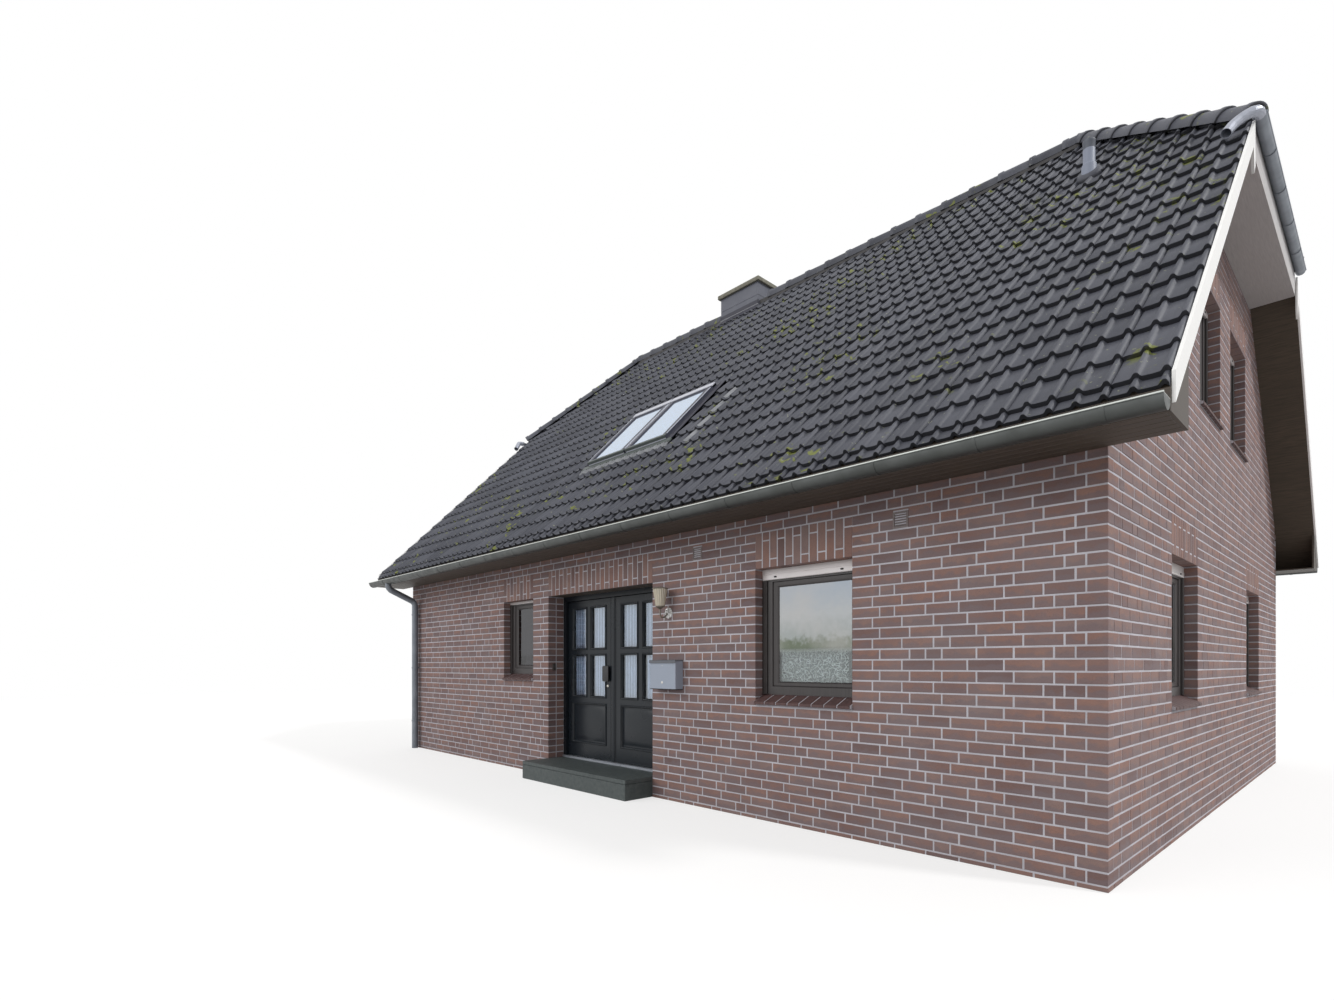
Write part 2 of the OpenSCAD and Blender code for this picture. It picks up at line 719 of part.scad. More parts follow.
module roof_flashings() {
    color([0.60, 0.62, 0.65]) {
        window_flashing();
        chimney_flashing();
    }
}

// Two roof window sashes side by side on one kerb. Each has rails with a sloping edge at the
// outside and at the glass, and a thicker cover over its head.
sash_w = 765;
sash_rail_w = 85;
sash_foot_w = 50;
sash_head_w = 120;
kerb_low = -110;
kerb_top = 22;
rail_top = 58;
head_top = 66;
roof_pane_n = [20, 44];
function rail_profile(outer, inner, top) = let (d = sign(inner - outer)) [
    [outer, kerb_top - 1], [outer, top - 8], [outer + 8 * d, top], [inner - 14 * d, top],
    [inner, roof_pane_n[1]], [inner, kerb_top - 1]];
module roof_sash(x) {
    end_s = roof_window_s + roof_window_l;
    for (side = [[x, x + sash_rail_w], [x + sash_w, x + sash_w - sash_rail_w]])
        along_y(roof_window_s, end_s) polygon(rail_profile(side[0], side[1], rail_top));
    along_x(x, x + sash_w) polygon(rail_profile(roof_window_s, roof_window_s + sash_foot_w, rail_top));
    along_x(x, x + sash_w) polygon(rail_profile(end_s, end_s - sash_head_w, head_top));
}
module roof_panes(n0, n1) {
    for (x = [roof_window_x, roof_window_x + roof_window_w - sash_w])
        block([x + sash_rail_w, roof_window_s + sash_foot_w, n0],
            [x + sash_w - sash_rail_w, roof_window_s + roof_window_l - sash_head_w, n1]);
}
module roof_window_frame() {
    color([0.40, 0.42, 0.44]) on_front_slope() {
        difference() {
            block([roof_window_x, roof_window_s, kerb_low],
                [roof_window_x + roof_window_w, roof_window_s + roof_window_l, kerb_top]);
            roof_panes(kerb_low - 1, kerb_top + 1);
        }
        for (x = [roof_window_x, roof_window_x + roof_window_w - sash_w]) roof_sash(x);
    }
}
module roof_window_glass() { color(glass_c) on_front_slope() roof_panes(roof_pane_n[0], roof_pane_n[1]); }

// A tube on a wider collar, with a rim round its mouth
module vent_pipe() {
    tube_r = 55;
    wall = 4;
    low = -420;
    collar_top = 75;
    top = 310;
    rim_h = 22;
    color([0.55, 0.57, 0.60]) translate([vent_x, -vent_y, roof_z(vent_y)])
        rotate_extrude() polygon([[0, low], [vent_r, low], [vent_r, collar_top - 12],
            [tube_r, collar_top], [tube_r, top - rim_h], [tube_r + 4, top - rim_h], [tube_r + 4, top],
            [tube_r - wall, top], [tube_r - wall, collar_top + 60], [0, collar_top + 60]]);
}

// Front door: a frame, a threshold and two leaves that open inwards
door_y = -half_d + door_reveal;
door_end = door_x + door_w;
door_mid = door_x + door_w / 2;
jamb_l = door_x + door_frame_w;
jamb_r = door_end - door_frame_w;
leaf_back_y = door_y + door_frame_d;
leaf_y = leaf_back_y - door_leaf_t;
barrel_r = 8;
hinge_y = leaf_back_y + barrel_r + 5;
hinge_zs = [420, 1240, 2060];
barrel_h = 55;
leaf_z0 = floor_z + 8;
leaf_z1 = lintel_z - door_frame_w - 6;
leaf_edge = 5;
meet_l = door_mid - meeting_w / 2 - door_gap;
meet_r = door_mid - meeting_w / 2;

// One half of a hinge: a barrel round the axis of a leaf and a plate to one side of it
module hinge_half(x, side, z) {
    plate_w = 34;
    translate([x, hinge_y, z]) cylinder(r = barrel_r, h = barrel_h, $fn = 16);
    block([min(x, x + side * plate_w), leaf_back_y - 1, z],
        [max(x, x + side * plate_w), hinge_y - barrel_r + 3, z + barrel_h]);
}
module door_frame() {
    color(door_c) {
        difference() {
            block([door_x, door_y, floor_z], [door_end, leaf_back_y, lintel_z]);
            block([jamb_l, door_y - 1, floor_z - 1], [jamb_r, leaf_back_y + 1, lintel_z - door_frame_w]);
        }
        for (z = hinge_zs) {
            hinge_half(jamb_l, -1, z);
            hinge_half(jamb_r, 1, z);
        }
    }
}
module door_threshold() {
    color([0.70, 0.71, 0.72]) block([door_x, door_y - 15, step_z], [door_end, -half_d + wall_t, floor_z]);
}

// Panes and panel of one leaf, between its edges
pane_w = 275;
pane_gap = 115;
pane_rows = [[1020, 1530], [1620, 2125]];
panel_z = [440, 915];
mould_w = 18;
mould_t = 8;
function pane_left(x0, x1) = (x0 + x1) / 2 - pane_gap / 2 - pane_w;
module leaf_panes(x0, x1, y0, y1, grow = 0) {
    for (row = pane_rows, k = [0, 1]) {
        x = pane_left(x0, x1) + k * (pane_w + pane_gap);
        block([x - grow, y0, row[0] - grow], [x + pane_w + grow, y1, row[1] + grow]);
    }
}
module leaf_panel(x0, x1, y0, y1, grow) {
    x = pane_left(x0, x1);
    block([x - grow, y0, panel_z[0] - grow], [x + 2 * pane_w + pane_gap + grow, y1, panel_z[1] + grow]);
}
// A leaf between x0 and x1 whose panes sit midway between c0 and c1, hung on its outer edge
module leaf(x0, x1, c0, c1, hinge_x, side) {
    panel_in = 14;
    color(door_c) {
        difference() {
            union() {
                block([x0, leaf_y, leaf_z0], [x1, leaf_back_y, leaf_z1]);
                leaf_panes(c0, c1, leaf_y - mould_t, leaf_y + 1, mould_w);
                leaf_panel(c0, c1, leaf_y - mould_t, leaf_y + 1, mould_w);
            }
            leaf_panes(c0, c1, leaf_y - 20, leaf_back_y + 1);
            leaf_panel(c0, c1, leaf_y - 20, leaf_y + panel_in, 0);
        }
        leaf_panel(c0, c1, leaf_y + 2, leaf_y + panel_in + 1, -45);
        for (z = hinge_zs) hinge_half(hinge_x, side, z + barrel_h + 6);
    }
}
module door_leaf_left() { leaf(jamb_l + leaf_edge, meet_l, jamb_l + leaf_edge, meet_l, jamb_l, 1); }
module door_leaf_right() {
    leaf(meet_r, jamb_r - leaf_edge, meet_r + meeting_w, jamb_r - leaf_edge, jamb_r, -1);
    color(door_c) block([meet_r, leaf_y - 20, leaf_z0], [meet_r + meeting_w, leaf_y + 1, leaf_z1]);
}
glass_y = leaf_y + 18;
module door_glass_left() { color(glass_c) leaf_panes(jamb_l + leaf_edge, meet_l, glass_y, glass_y + 20); }
module door_glass_right() {
    color(glass_c) leaf_panes(meet_r + meeting_w, jamb_r - leaf_edge, glass_y, glass_y + 20);
}
// Net curtains inside the panes of the leaves and behind the large front window
curtain_y = leaf_y + 44;
curtain_c = [0.90, 0.90, 0.88];
module door_curtain_left() {
    color(curtain_c) leaf_panes(jamb_l + leaf_edge, meet_l, curtain_y, curtain_y + 10);
}
module door_curtain_right() {
    color(curtain_c) leaf_panes(meet_r + meeting_w, jamb_r - leaf_edge, curtain_y, curtain_y + 10);
}
module window_curtain() {
    side = frame_side + sash_side - 25;
    color(curtain_c) on_front() block([large_x + side, leaf_t + frame_d + 4, large_sill_z + 105],
        [large_x + large_w - side, leaf_t + frame_d + 16, large_sill_z + 420]);
}
// A broad pull that stands off the leaf on a neck, and the rose of the lock under it
module door_handle() {
    x = meet_l - 52;
    pull_w = 120;
    pull_y = leaf_y - 50;
    pull_z = [1210, 1400];
    color([0.20, 0.20, 0.21]) {
        block([x - pull_w / 2, pull_y, pull_z[0]], [x + pull_w / 2, pull_y + 26, pull_z[1]]);
        translate([x, leaf_y, 1300]) rotate([90, 0, 0]) cylinder(r = 18, h = 26, $fn = 24);
        translate([x, leaf_y, 1155]) rotate([90, 0, 0]) cylinder(r = 17, h = 12, $fn = 24);
    }
}
module door_step() {
    color([0.30, 0.34, 0.33]) block([door_x, -half_d - step_out, 0], [door_end, door_y, step_z]);
}

// Window pieces, drawn on a wall whose face is at Y = 0: a frame with a sash in it,
// and the rails of the roller shutter in front
frame_d = 70;
frame_side = 106;
frame_foot = 78;
frame_head = 18;
sash_side = 65;
sash_foot = 42;
sash_head = 52;
sash_in = 12;
sash_out_d = 24;
rail_w = 62;
rail_d = 18;
function frame_top(w) = w[3] - w[4];
// A flat ring between two rectangles, each given as [x0, z0, x1, z1]
module ring(outer, inner, y0, y1) {
    difference() {
        block([outer[0], y0, outer[1]], [outer[2], y1, outer[3]]);
        block([inner[0], y0 - 1, inner[1]], [inner[2], y1 + 1, inner[3]]);
    }
}
function frame_outer(w) = [w[0] - w[1] / 2, w[2], w[0] + w[1] / 2, frame_top(w)];
function frame_inner(w) = frame_outer(w) + [frame_side, frame_foot, -frame_side, -frame_head];
function sash_inner(w) = frame_inner(w) + [sash_side, sash_foot, -sash_side, -sash_head];
module window_frame(w) {
    outer = frame_outer(w);
    hidden = 8;
    ring(outer, frame_inner(w), leaf_t, leaf_t + frame_d);
    ring(frame_inner(w) + [-hidden, -hidden, hidden, hidden], sash_inner(w),
        leaf_t + sash_in, leaf_t + frame_d - 2);
    for (x = [outer[0], outer[2] - rail_w])
        block([x, leaf_t - rail_d, outer[1]], [x + rail_w, leaf_t + 1, outer[3]]);
}
module window_pane(w) {
    pane = sash_inner(w);
    block([pane[0], leaf_t + sash_out_d, pane[1]], [pane[2], leaf_t + sash_out_d + 24, pane[3]]);
}
module window_sill(w) {
    out = 30;
    translate([w[0] - w[1] / 2, 0, w[2]]) rotate([90, 0, 90]) linear_extrude(w[1])
        polygon([[-out, -sill_h], [wall_t, -sill_h], [wall_t, 0], [leaf_t, 0], [-out, -22]]);
}
module shutter_box(w) {
    block([w[0] - w[1] / 2, leaf_t - rail_d, frame_top(w)], [w[0] + w[1] / 2, wall_t, w[3]]);
}
module front_window_frames() { color(wood_dark_c) on_front() for (w = front_windows) window_frame(w); }
module rear_window_frames() { color(wood_dark_c) on_rear() for (w = rear_windows) window_frame(w); }
module gable_window_frames() {
    color(wood_dark_c) {
        on_left() for (w = gable_windows) window_frame(w);
        on_right() for (w = gable_windows) window_frame(w);
    }
}
module window_glass() {
    color(glass_c) {
        on_front() for (w = front_windows) window_pane(w);
        on_rear() for (w = rear_windows) window_pane(w);
        on_left() for (w = gable_windows) window_pane(w);
        on_right() for (w = gable_windows) window_pane(w);
    }
}
module window_sills() {
    color(brick_sill_c) {
        on_front() for (w = front_windows) window_sill(w);
        on_rear() for (w = rear_windows) window_sill(w);
        on_left() for (w = gable_windows) window_sill(w);
        on_right() for (w = gable_windows) window_sill(w);
    }
}
module shutter_boxes() {
    color(cream_c) {
        on_front() for (w = front_windows) shutter_box(w);
        on_rear() for (w = rear_windows) shutter_box(w);
        on_left() for (w = gable_windows) shutter_box(w);
        on_right() for (w = gable_windows) shutter_box(w);
    }
}

vent_xs = [1628, 3804];
vent_z = 2460;
module wall_vents() {
    color([0.55, 0.50, 0.48]) on_front() for (x = vent_xs)
        block([x, -6, vent_z], [x + 125, 0, vent_z + 125]);
}

// A lantern with a flaring glass under a flat lid, on a curved arm with a round wall plate
lamp_x = 1270;
lamp_z = 1953;
lamp_out = 120;
lamp_glass_z = [62, 242];
lamp_glass_r = [48, 76];
lamp_lid_r = 84;
module wall_lamp() {
    arm_r = 8;
    arm = [[0, -20, 0], [0, -48, -38], [0, -84, -52], [0, -lamp_out, -32], [0, -lamp_out, 42]];
    color([0.45, 0.36, 0.22]) on_front() translate([lamp_x, 0, lamp_z]) {
        rotate([90, 0, 0]) rotate_extrude()
            polygon([[0, 0], [60, 0], [60, 4], [52, 9], [42, 8], [36, 13], [24, 15], [18, 24], [0, 24]]);
        for (i = [0 : len(arm) - 2]) pipe_between(arm[i], arm[i + 1], arm_r, 12);
        translate([0, -lamp_out, 0]) {
            cup = lamp_glass_z[0];
            lid = lamp_glass_z[1];
            rotate_extrude() polygon([[0, cup - 26], [12, cup - 24], [26, cup - 14], [50, cup - 8],
                [54, cup], [12, cup], [12, cup + 85], [3, cup + 85], [3, lid], [lamp_lid_r, lid],
                [lamp_lid_r, lid + 7], [lamp_lid_r - 8, lid + 12], [0, lid + 22]]);
        }
    }
}
module lamp_glass() {
    pane_t = 3;
    h = lamp_glass_z[1] - lamp_glass_z[0];
    color(glass_c) on_front() translate([lamp_x, -lamp_out, lamp_z + lamp_glass_z[0]]) difference() {
        cylinder(r1 = lamp_glass_r[0], r2 = lamp_glass_r[1], h = h);
        translate([0, 0, -1])
            cylinder(r1 = lamp_glass_r[0] - pane_t, r2 = lamp_glass_r[1] - pane_t, h = h + 2);
    }
}

mail_x = 1097;
mail_w = 385;
mail_d = 105;
mail_z = 1158;
mail_h = 290;
lid_gap = 6;
mail_pin_r = 5;
mail_hinge_in = 11;
module mailbox() {
    wall = 3;
    color([0.66, 0.67, 0.67]) on_front() difference() {
        block([mail_x, -mail_d, mail_z], [mail_x + mail_w, 0, mail_z + mail_h]);
        block([mail_x + wall, -mail_d + wall, mail_z + wall],
            [mail_x + mail_w - wall, -wall, mail_z + mail_h + 1]);
    }
}
// The flap: a plate that overhangs the box, a lip along its front and a round hinge along its rear
module mailbox_lid() {
    z = mail_z + mail_h + lid_gap;
    over = 8;
    lip_t = 4;
    lip_h = 24;
    front_y = -mail_d - lid_gap - lip_t;
    color([0.72, 0.73, 0.73]) on_front() {
        block([mail_x - over, front_y, z], [mail_x + mail_w + over, -10, z + 6]);
        block([mail_x - over, front_y, z - lip_h], [mail_x + mail_w + over, front_y + lip_t, z + 1]);
        translate([mail_x, -mail_hinge_in, z + mail_pin_r]) rotate([0, 90, 0])
            cylinder(r = mail_pin_r, h = mail_w, $fn = 16);
    }
}

module doorbell() {
    color([0.30, 0.25, 0.20]) block([door_x, -half_d + 60, 1340], [door_x + 14, -half_d + 110, 1430]);
}

ground_floor();
attic_floor();
front_wall_left();
front_wall_right();
front_wall_over_door();
rear_wall();
left_gable_wall();
right_gable_wall();
front_roof_deck();
rear_roof_deck();
hip_roof_decks();
front_roof_tiles();
rear_roof_tiles();
hip_roof_tiles();
ridge_tiles();
eave_soffits();
hip_soffits();
barge_boards();
front_gutter();
rear_gutter();
hip_gutters();
hip_spouts();
downpipes();
chimney_stack();
chimney_cap();
roof_flashings();
roof_window_frame();
roof_window_glass();
vent_pipe();
door_frame();
door_threshold();
door_leaf_left();
door_leaf_right();
door_glass_left();
door_glass_right();
door_curtain_left();
door_curtain_right();
window_curtain();
door_handle();
door_step();
front_window_frames();
gable_window_frames();
rear_window_frames();
window_glass();
window_sills();
shutter_boxes();
wall_vents();
wall_lamp();
lamp_glass();
mailbox();
mailbox_lid();
doorbell();
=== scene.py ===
"""Looks of the detached house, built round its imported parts.

Metres, +Z up, the front looks towards -Y, the origin is on the ground at the middle of the house.
"""
import math
import random

import bmesh
import bpy
import numpy as np
from mathutils import Matrix, Vector
from mathutils.geometry import tessellate_polygon


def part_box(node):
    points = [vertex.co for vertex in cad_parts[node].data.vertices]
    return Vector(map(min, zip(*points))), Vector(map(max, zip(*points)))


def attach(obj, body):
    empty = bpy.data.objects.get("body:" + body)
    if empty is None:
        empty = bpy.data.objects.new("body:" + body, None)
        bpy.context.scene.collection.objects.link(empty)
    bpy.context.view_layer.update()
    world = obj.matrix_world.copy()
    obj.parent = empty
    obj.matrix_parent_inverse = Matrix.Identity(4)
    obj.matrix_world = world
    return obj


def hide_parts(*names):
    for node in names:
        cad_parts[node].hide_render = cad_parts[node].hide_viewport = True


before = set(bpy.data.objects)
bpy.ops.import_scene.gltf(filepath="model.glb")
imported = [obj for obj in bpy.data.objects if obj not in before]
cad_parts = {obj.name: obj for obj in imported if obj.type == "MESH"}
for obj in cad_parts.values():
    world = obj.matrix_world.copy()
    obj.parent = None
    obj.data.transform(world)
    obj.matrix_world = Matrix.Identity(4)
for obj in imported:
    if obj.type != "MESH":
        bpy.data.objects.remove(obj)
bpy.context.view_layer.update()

# House
HALF_W = -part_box("left_gable_wall")[0].x
HALF_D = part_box("left_gable_wall")[1].y
WALL_T = 0.365
LEAF_T = 0.115
LEAF_GAP = 0.004
WALL_TOP_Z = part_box("front_wall_left")[1].z
GABLE_TOP_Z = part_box("left_gable_wall")[1].z
SOFFIT_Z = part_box("eave_soffits")[0].z
LINTEL_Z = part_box("front_wall_over_door")[0].z
HIP_SOFFIT_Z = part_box("hip_soffits")[0].z

# Roof
PITCH = math.radians(45)
RIDGE_Z = 7.545
VERGE_X = 5.645
EAVE_Y = 4.61
EAVE_Z = RIDGE_Z - EAVE_Y * math.tan(PITCH)
HIP_RUN = 1.71
HIP_DROP = 1.56
HIP_LIP = 0.018
HIP_PITCH = math.atan2(HIP_DROP, HIP_RUN)
RIDGE_X = VERGE_X - HIP_RUN
HIP_Y = HIP_DROP / math.tan(PITCH)
VERGE_D = 0.135
SLOPE_L = EAVE_Y / math.cos(PITCH)
VERGE_DROP = VERGE_D / math.cos(PITCH)

# Bricks
COURSE = 0.25 / 3
BED = 0.012
JOINT = 0.012
QUARTER = 0.0625
BRICK_BEVEL = 0.0025
MORTAR_IN = 0.0025
# Width of the mortar beside and over the doorway, which the plastered leaf leaves free
RETURN_T = 0.106
SOLDIER_H = 4 * COURSE - BED
LONG_SOLDIER = 0.24
DOOR_REVEAL = 0.235
# Courses are counted down from the lintels: to the ground, and to the foot of the doorway
LOWEST_COURSE, DOOR_COURSES = 28, 26

# Openings, each as left edge, right edge, sill, head
DOORWAY = (-0.995, 1.015, 0.0, LINTEL_Z)
SILL_H = 0.095
WINDOW_W = 1.01
SILL_Z = 1.14
ATTIC_SILL_Z = 3.84
ATTIC_HEAD_Z = ATTIC_SILL_Z + LINTEL_Z - SILL_Z


def window_at(middle, sill=SILL_Z, head=LINTEL_Z, width=WINDOW_W, box_h=0.1, more=0.0):
    return {"x0": middle - width / 2, "x1": middle + width / 2, "z0": sill, "z1": head, "box_h": box_h,
            "more": more}


LACE_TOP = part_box("window_curtain")[1].z
GUTTER_RIM = 2.820
FRONT_WINDOWS = [window_at(-1.74, 1.29, LINTEL_Z, 0.76, 0.036), window_at(2.94, more=0.085)]
REAR_WINDOWS = [window_at(x) for x in (-3.7, -1.25, 1.25, 3.7)]
GABLE_WINDOWS = [window_at(y) for y in (-1.9, 1.9)]
GABLE_WINDOWS += [window_at(y, ATTIC_SILL_Z, ATTIC_HEAD_Z) for y in (-0.8, 0.8)]
AIR_BRICKS = [(1.628, 1.753, 2.46, 2.585), (3.804, 3.929, 2.46, 2.585)]

rng = random.Random(7)


class Shape:
    """Points, faces and a tint for every point, gathered into one mesh."""

    def __init__(self):
        self.points = []
        self.faces = []
        self.tints = []
        self.count = 0

    def add(self, points, faces, tint=0.5, place=None):
        points = np.asarray(points, float).reshape(-1, 3)
        if place is not None:
            turn = np.array(place)
            points = points @ turn[:3, :3].T + turn[:3, 3]
        self.points.append(points)
        self.faces += [[i + self.count for i in face] for face in faces]
        self.tints.append(np.broadcast_to(np.asarray(tint, float), len(points)))
        self.count += len(points)
        return self

    def add_shape(self, other, place=None):
        return self.add(np.vstack(other.points), other.faces, np.concatenate(other.tints), place)

    def prism(self, outline, x0, x1, tint=0.5, place=None):
        """An outline of (y, z), drawn out from one x to another."""
        return self.add(*loft([[(x, y, z) for y, z in outline] for x in (x0, x1)]), tint, place)

    def mesh(self, name):
        mesh = bpy.data.meshes.new(name)
        mesh.from_pydata(np.vstack(self.points).tolist(), [], self.faces)
        tint = mesh.attributes.new("tint", "FLOAT", "POINT")
        tint.data.foreach_set("value", np.concatenate(self.tints).astype(np.float32))
        return mesh


def linked(name, data):
    obj = bpy.data.objects.new(name, data)
    bpy.context.scene.collection.objects.link(obj)
    return obj


def clipped(shape, planes):
    """What lies behind every plane, closed where it was cut. A plane is a point and a normal."""
    mesh = bmesh.new()
    mesh.from_mesh(shape.mesh("cut"))
    for point, normal in planes:
        parts = mesh.verts[:] + mesh.edges[:] + mesh.faces[:]
        bmesh.ops.bisect_plane(mesh, geom=parts, dist=1e-6, plane_co=point, plane_no=normal, clear_outer=True)
        bmesh.ops.holes_fill(mesh, edges=[e for e in mesh.edges if e.is_boundary])
    layer = mesh.verts.layers.float["tint"]
    result = Shape()
    if mesh.verts:
        mesh.verts.index_update()
        result.add([v.co[:] for v in mesh.verts], [[v.index for v in f.verts] for f in mesh.faces],
                   [v[layer] for v in mesh.verts])
    mesh.free()
    return result


def piece(name, shape, material, body="house", replaces=(), angle=35, tidy=True):
    """Makes an object of a shape, with its finish and the body that it rides on."""
    mesh = shape.mesh(name)
    if tidy:
        work = bmesh.new()
        work.from_mesh(mesh)
        bmesh.ops.recalc_face_normals(work, faces=work.faces)
        work.to_mesh(mesh)
        work.free()
    mesh.shade_smooth()
    mesh.set_sharp_from_angle(angle=math.radians(angle))
    mesh.materials.append(material)
    obj = linked(name, mesh)
    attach(obj, body)
    if replaces:
        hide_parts(*replaces)
    return obj


def turn_z(degrees):
    return Matrix.Rotation(math.radians(degrees), 4, "Z")


def out_of_wall(x, y, z):
    """Stands what was turned round Z out of the front wall, at a point of it."""
    return Matrix.Translation((x, y, z)) @ Matrix.Rotation(math.pi / 2, 4, "X")


ON_FRONT = Matrix.Translation((0, -HALF_D, 0))
ON_REAR = Matrix.Translation((0, HALF_D, 0)) @ turn_z(180)
ON_LEFT = Matrix.Translation((-HALF_W, 0, 0)) @ turn_z(-90)
ON_RIGHT = Matrix.Translation((HALF_W, 0, 0)) @ turn_z(90)


def box_points(low, high, chamfer=0.0):
    """A closed box, with a chamfer along all its edges where one is asked for."""
    low, high = np.array(low, float), np.array(high, float)
    if not chamfer:
        points = [[(low, high)[i >> k & 1][k] for k in range(3)] for i in range(8)]
        faces = [[0, 2, 3, 1], [4, 5, 7, 6], [0, 1, 5, 4], [2, 6, 7, 3], [0, 4, 6, 2], [1, 3, 7, 5]]
        return points, faces
    points, index = [], {}
    for i in range(8):
        corner = [(low, high)[i >> k & 1][k] for k in range(3)]
        for axis in range(3):
            point = list(corner)
            for k in range(3):
                if k != axis:
                    point[k] += chamfer * (-1 if i >> k & 1 else 1)
            index[i, axis] = len(points)
            points.append(point)
    faces = []
    for axis in range(3):
        a, b = (axis + 1) % 3, (axis + 2) % 3
        for side in (0, 1):
            ring = [side << axis | i << a | j << b for i, j in ((0, 0), (1, 0), (1, 1), (0, 1))]
            faces.append([index[i, axis] for i in ring])
        for i, j in ((0, 0), (0, 1), (1, 0), (1, 1)):
            start = i << a | j << b
            end = start | 1 << axis
            faces.append([index[start, a], index[end, a], index[end, b], index[start, b]])
    faces += [[index[i, axis] for axis in range(3)] for i in range(8)]
    return points, faces


def add_box(shape, low, high, chamfer=0.0, tint=0.5, place=None):
    return shape.add(*box_points(low, high, chamfer), tint, place)


def loft(rings, close_ends=True, closed_ring=True):
    """Skins a list of rings of the same number of points."""
    n = len(rings[0])
    points = [p for ring in rings for p in ring]
    faces = []
    last = n if closed_ring else n - 1
    for i in range(len(rings) - 1):
        for k in range(last):
            j = (k + 1) % n
            faces.append([i * n + k, i * n + j, (i + 1) * n + j, (i + 1) * n + k])
    if close_ends:
        faces.append(list(range(n - 1, -1, -1)))
        faces.append(list(range((len(rings) - 1) * n, len(rings) * n)))
    return points, faces


def revolved(profile, sides, ribs=0.0, hollow=False):
    """A profile of (radius, height) turned round Z. A hollow one joins its last ring to its first."""
    rings = []
    for r, z in profile:
        ring = []
        for k in range(sides):
            a = 2 * math.pi * k / sides
            q = r * (1 - ribs * (k % 2))
            ring.append((q * math.cos(a), q * math.sin(a), z))
        rings.append(ring)
    points, faces = loft(rings, close_ends=not hollow)
    if hollow:
        base = (len(profile) - 1) * sides
        faces += [[base + k, base + (k + 1) % sides, (k + 1) % sides, k] for k in range(sides)]
    return points, faces


def tube(path, radius, sides=12):
    """A round rod along a path."""
    rings = []
    path = [Vector(p) for p in path]
    for i, p in enumerate(path):
        ahead = (path[min(i + 1, len(path) - 1)] - path[max(i - 1, 0)]).normalized()
        side = ahead.cross(Vector((0.02, 0.03, 1)) if abs(ahead.z) < 0.9 else Vector((1, 0.02, 0.03)))
        side.normalize()
        up = side.cross(ahead)
        angles = [2 * math.pi * k / sides for k in range(sides)]
        rings.append([p + radius * (math.cos(a) * side + math.sin(a) * up) for a in angles])
    return loft(rings)


def ring_frame(outer, inner, profile):
    """A mitred frame between two rectangles of (x0, z0, x1, z1).

    The profile is a closed outline of (share of the way inwards, depth)."""
    points, faces = [], []
    n = len(profile)
    for cx, cz in ((0, 1), (2, 1), (2, 3), (0, 3)):
        for share, depth in profile:
            x = outer[cx] + share * (inner[cx] - outer[cx])
            z = outer[cz] + share * (inner[cz] - outer[cz])
            points.append((x, depth, z))
    for c in range(4):
        for k in range(n):
            j = (k + 1) % n
            d = (c + 1) % 4
            faces.append([c * n + k, c * n + j, d * n + j, d * n + k])
    return points, faces


def grown(rect, by):
    return (rect[0] - by, rect[1] - by, rect[2] + by, rect[3] + by)


def plate(outline, holes, near, far):
    """A plate between two depths, with holes cut through it. Outlines are lists of (x, z)."""
    loops = [outline] + holes
    flat = [p for loop in loops for p in loop]
    triangles = tessellate_polygon([[Vector((x, z, 0)) for x, z in loop] for loop in loops])
    n = len(flat)
    points = [(x, near, z) for x, z in flat] + [(x, far, z) for x, z in flat]
    faces = [list(t) for t in triangles] + [[i + n for i in reversed(t)] for t in triangles]
    start = 0
    for loop in loops:
        for k in range(len(loop)):
            a, b = start + k, start + (k + 1) % len(loop)
            faces.append([a, b, b + n, a + n])
        start += len(loop)
    return points, faces


def rect_loop(x0, z0, x1, z1):
    return [(x0, z0), (x1, z0), (x1, z1), (x0, z1)]


